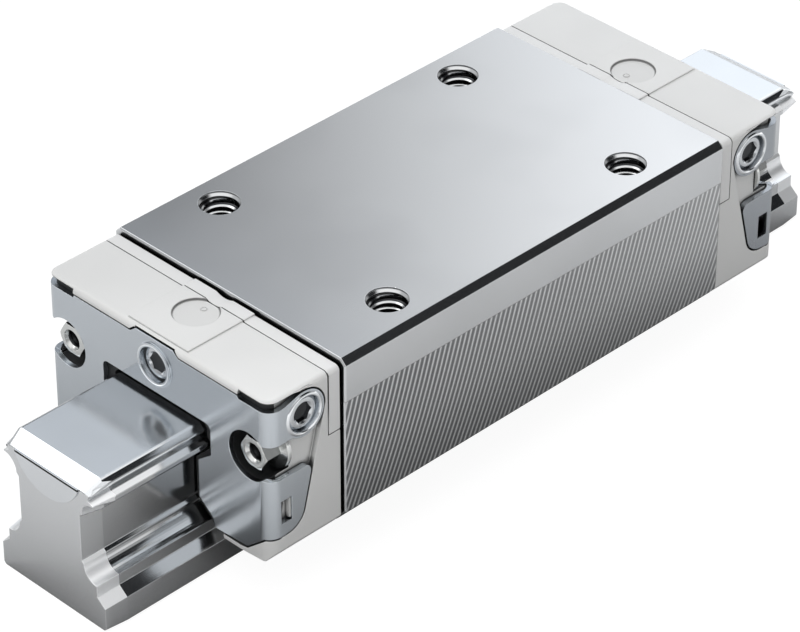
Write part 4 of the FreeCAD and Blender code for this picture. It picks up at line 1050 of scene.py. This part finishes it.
def pale_floor():
    """White to the camera, pale where metal mirrors it and duller where it only lights the part; painted
    shadow darkens it near the parts.
    """
    material, tree, surface = new_material("pale_floor")
    tree.nodes.remove(surface)
    output = [part for part in tree.nodes if part.type == "OUTPUT_MATERIAL"][0]
    place = put(tree, "TexCoord").outputs["Object"]
    grain = put(tree, "TexNoise", {"Vector": place, "Scale": 30.0, "Detail": 2.0}).outputs["Fac"]
    # painted shadow: an occlusion mask darkens the floor's colour near the parts
    near = put(tree, "AmbientOcclusion", {"Distance": SHADOW_REACH}, samples=6).outputs["AO"]
    open_share = maths(tree, "POWER", near, SHADOW_POWER)
    pale_tone = blend_colour(tree, grain, grey(0.82), grey(0.84))
    lit = put(tree, "BsdfDiffuse", {"Color": blend_colour(tree, open_share, grey(0.06), pale_tone)})
    dull = put(tree, "BsdfDiffuse", {"Color": blend_colour(tree, open_share, grey(0.05), grey(0.52))})
    seen = put(tree, "BsdfDiffuse", {"Color": blend_colour(tree, grain, grey(0.15), grey(0.16))})
    glow = put(tree, "Emission", {"Color": (1.0, 1.0, 1.0, 1.0), "Strength": FLOOR_GLOW})
    faint = put(tree, "Emission", {"Color": (1.0, 1.0, 1.0, 1.0), "Strength": FAINT_GLOW})
    white = put(tree, "AddShader", {0: seen.outputs["BSDF"], 1: glow.outputs["Emission"]})
    pale = put(tree, "AddShader", {0: lit.outputs["BSDF"], 1: faint.outputs["Emission"]})
    path = put(tree, "LightPath").outputs
    glossy = put(tree, "MixShader", {0: path["Is Glossy Ray"], 1: dull.outputs["BSDF"],
                                     2: pale.outputs["Shader"]})
    direct = maths(tree, "MAXIMUM", path["Is Camera Ray"], path["Is Transmission Ray"])
    mix = put(tree, "MixShader", {0: direct, 1: glossy.outputs["Shader"], 2: white.outputs["Shader"]})
    tree.links.new(mix.outputs["Shader"], output.inputs["Surface"])
    return material


floor_mesh = bpy.data.meshes.new("studio_floor")
floor_mesh.from_pydata([(-FLOOR_HALF, -FLOOR_HALF, 0), (FLOOR_HALF, -FLOOR_HALF, 0),
                        (FLOOR_HALF, FLOOR_HALF, 0), (-FLOOR_HALF, FLOOR_HALF, 0)], [], [(0, 1, 2, 3)])
floor_mesh.materials.append(pale_floor())
floor = bpy.data.objects.new("studio_floor", floor_mesh)
floor.location.z = -FLOOR_DROP
bpy.context.scene.collection.objects.link(floor)
floor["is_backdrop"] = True


OVERHEAD_FROM, OVERHEAD_FULL = 0.25, 0.85
ROOM_LOW, ROOM_HIGH = (0.44, 0.445, 0.45), grey(1.25)
ROOM_PATCHES = (
    ((0.577, -0.577, 0.577), 15, 30, (0.012, 0.013, 0.015)),
    ((-0.57, 0.60, 0.56), 9, 17, (0.60, 0.61, 0.62)),
    ((-0.22, 0.60, 0.77), 9, 18, grey(2.2)),
)


def patch(tree, direction, towards, inner, outer):
    """A soft round mask about one direction of the room, by its radii in degrees."""
    aim = Vector(towards).normalized()
    near = put(tree, "VectorMath", {0: direction, 1: tuple(aim)}, operation="DOT_PRODUCT")
    made = put(tree, "MapRange", {"Value": near.outputs["Value"], "From Min": math.cos(math.radians(outer)),
                                  "From Max": math.cos(math.radians(inner))},
               interpolation_type="SMOOTHSTEP")
    return made.outputs["Result"]


room = bpy.data.worlds.new("studio_room")
bpy.context.scene.world = room
room.use_nodes = True
tree = room.node_tree
tree.nodes.clear()
direction = put(tree, "TexCoord").outputs["Generated"]
height = put(tree, "SeparateXYZ", {"Vector": direction}).outputs["Z"]
overhead = put(tree, "MapRange", {"Value": height, "From Min": OVERHEAD_FROM,
                                  "From Max": OVERHEAD_FULL},
               interpolation_type="SMOOTHSTEP").outputs["Result"]
light = blend_colour(tree, overhead, ROOM_LOW, ROOM_HIGH)
for towards, inner, outer, tone in ROOM_PATCHES:
    light = blend_colour(tree, patch(tree, direction, towards, inner, outer), light, tone)
path = put(tree, "LightPath").outputs
direct = maths(tree, "MAXIMUM", path["Is Camera Ray"], path["Is Transmission Ray"])
light = blend_colour(tree, direct, light, grey(1.0))
sky = put(tree, "Background", {"Color": light, "Strength": 1.0})
put(tree, "OutputWorld", {"Surface": sky.outputs["Background"]})

# Panel behind the block
# It lies where the top face mirrors it, bright on its right and dark on its left; one part of it
# is mirrored only by the near end of the strip and another only by the far end.

PANEL_DISTANCE = 260.0 * MM
PANEL_HALF = 170.0 * MM
PANEL_AIM = Vector((0.0, 0.0, 36.0 * MM))
PANEL_FALL = 68.0 * MM
PANEL_DARK, PANEL_BRIGHT = (0.13, 0.135, 0.14), (1.48, 1.50, 1.53)
CORNER_WAY = (-0.7071, -1.2247, 0.0)
CORNER_PARTS = ((47.0 * MM, 58.0 * MM, (0.66, 0.70, 0.75)),
                (-72.0 * MM, -86.0 * MM, (1.15, 1.21, 1.28)))

panel_mesh = bpy.data.meshes.new("studio_panel")
panel_mesh.from_pydata([(-PANEL_HALF, -PANEL_HALF, 0), (PANEL_HALF, -PANEL_HALF, 0),
                        (PANEL_HALF, PANEL_HALF, 0), (-PANEL_HALF, PANEL_HALF, 0)], [], [(0, 1, 2, 3)])
panel_material, tree, surface = new_material("panel_light")
tree.nodes.remove(surface)
output = [part for part in tree.nodes if part.type == "OUTPUT_MATERIAL"][0]
place = put(tree, "TexCoord").outputs["Object"]
right = put(tree, "SeparateXYZ", {"Vector": place}).outputs["X"]
fall = spread(tree, right, 0.0, 1.0, -PANEL_FALL, PANEL_FALL)
panel_colour = blend_colour(tree, fall, PANEL_DARK, PANEL_BRIGHT)
corner = put(tree, "VectorMath", {0: place, 1: CORNER_WAY}, operation="DOT_PRODUCT").outputs["Value"]
for start, end, tone in CORNER_PARTS:
    panel_colour = blend_colour(tree, spread(tree, corner, 0.0, 1.0, start, end), panel_colour, tone)
tree.links.new(put(tree, "Emission", {"Color": panel_colour, "Strength": 1.0}).outputs["Emission"],
               output.inputs["Surface"])
panel_mesh.materials.append(panel_material)
panel = bpy.data.objects.new("studio_panel", panel_mesh)
away = Vector((1.0, 1.0, 1.0)).normalized()
across = Vector((1.0, -1.0, 0.0)).normalized()
panel.matrix_world = Matrix.Translation(PANEL_AIM + away * PANEL_DISTANCE) @ Matrix(
    (across, away.cross(across), away)).transposed().to_4x4()
bpy.context.scene.collection.objects.link(panel)
panel.visible_camera = False
panel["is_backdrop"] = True

# Key light
# One broad lamp above and behind the block, so that its soft shadow falls towards the camera.

KEY_WIDTH = 0.35
KEY_POWER = 12.0
KEY_PLACE = Vector((0.30, 0.38, 0.70))

key = bpy.data.lights.new("key_light", "AREA")
key.shape = "DISK"
key.size = KEY_WIDTH
key.energy = KEY_POWER
key_lamp = bpy.data.objects.new("key_light", key)
key_lamp.location = KEY_PLACE
key_lamp.rotation_mode = "QUATERNION"
key_lamp.rotation_quaternion = (-KEY_PLACE).to_track_quat("-Z", "Y")
bpy.context.scene.collection.objects.link(key_lamp)

bpy.context.scene.view_settings.view_transform = "Standard"

low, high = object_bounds()
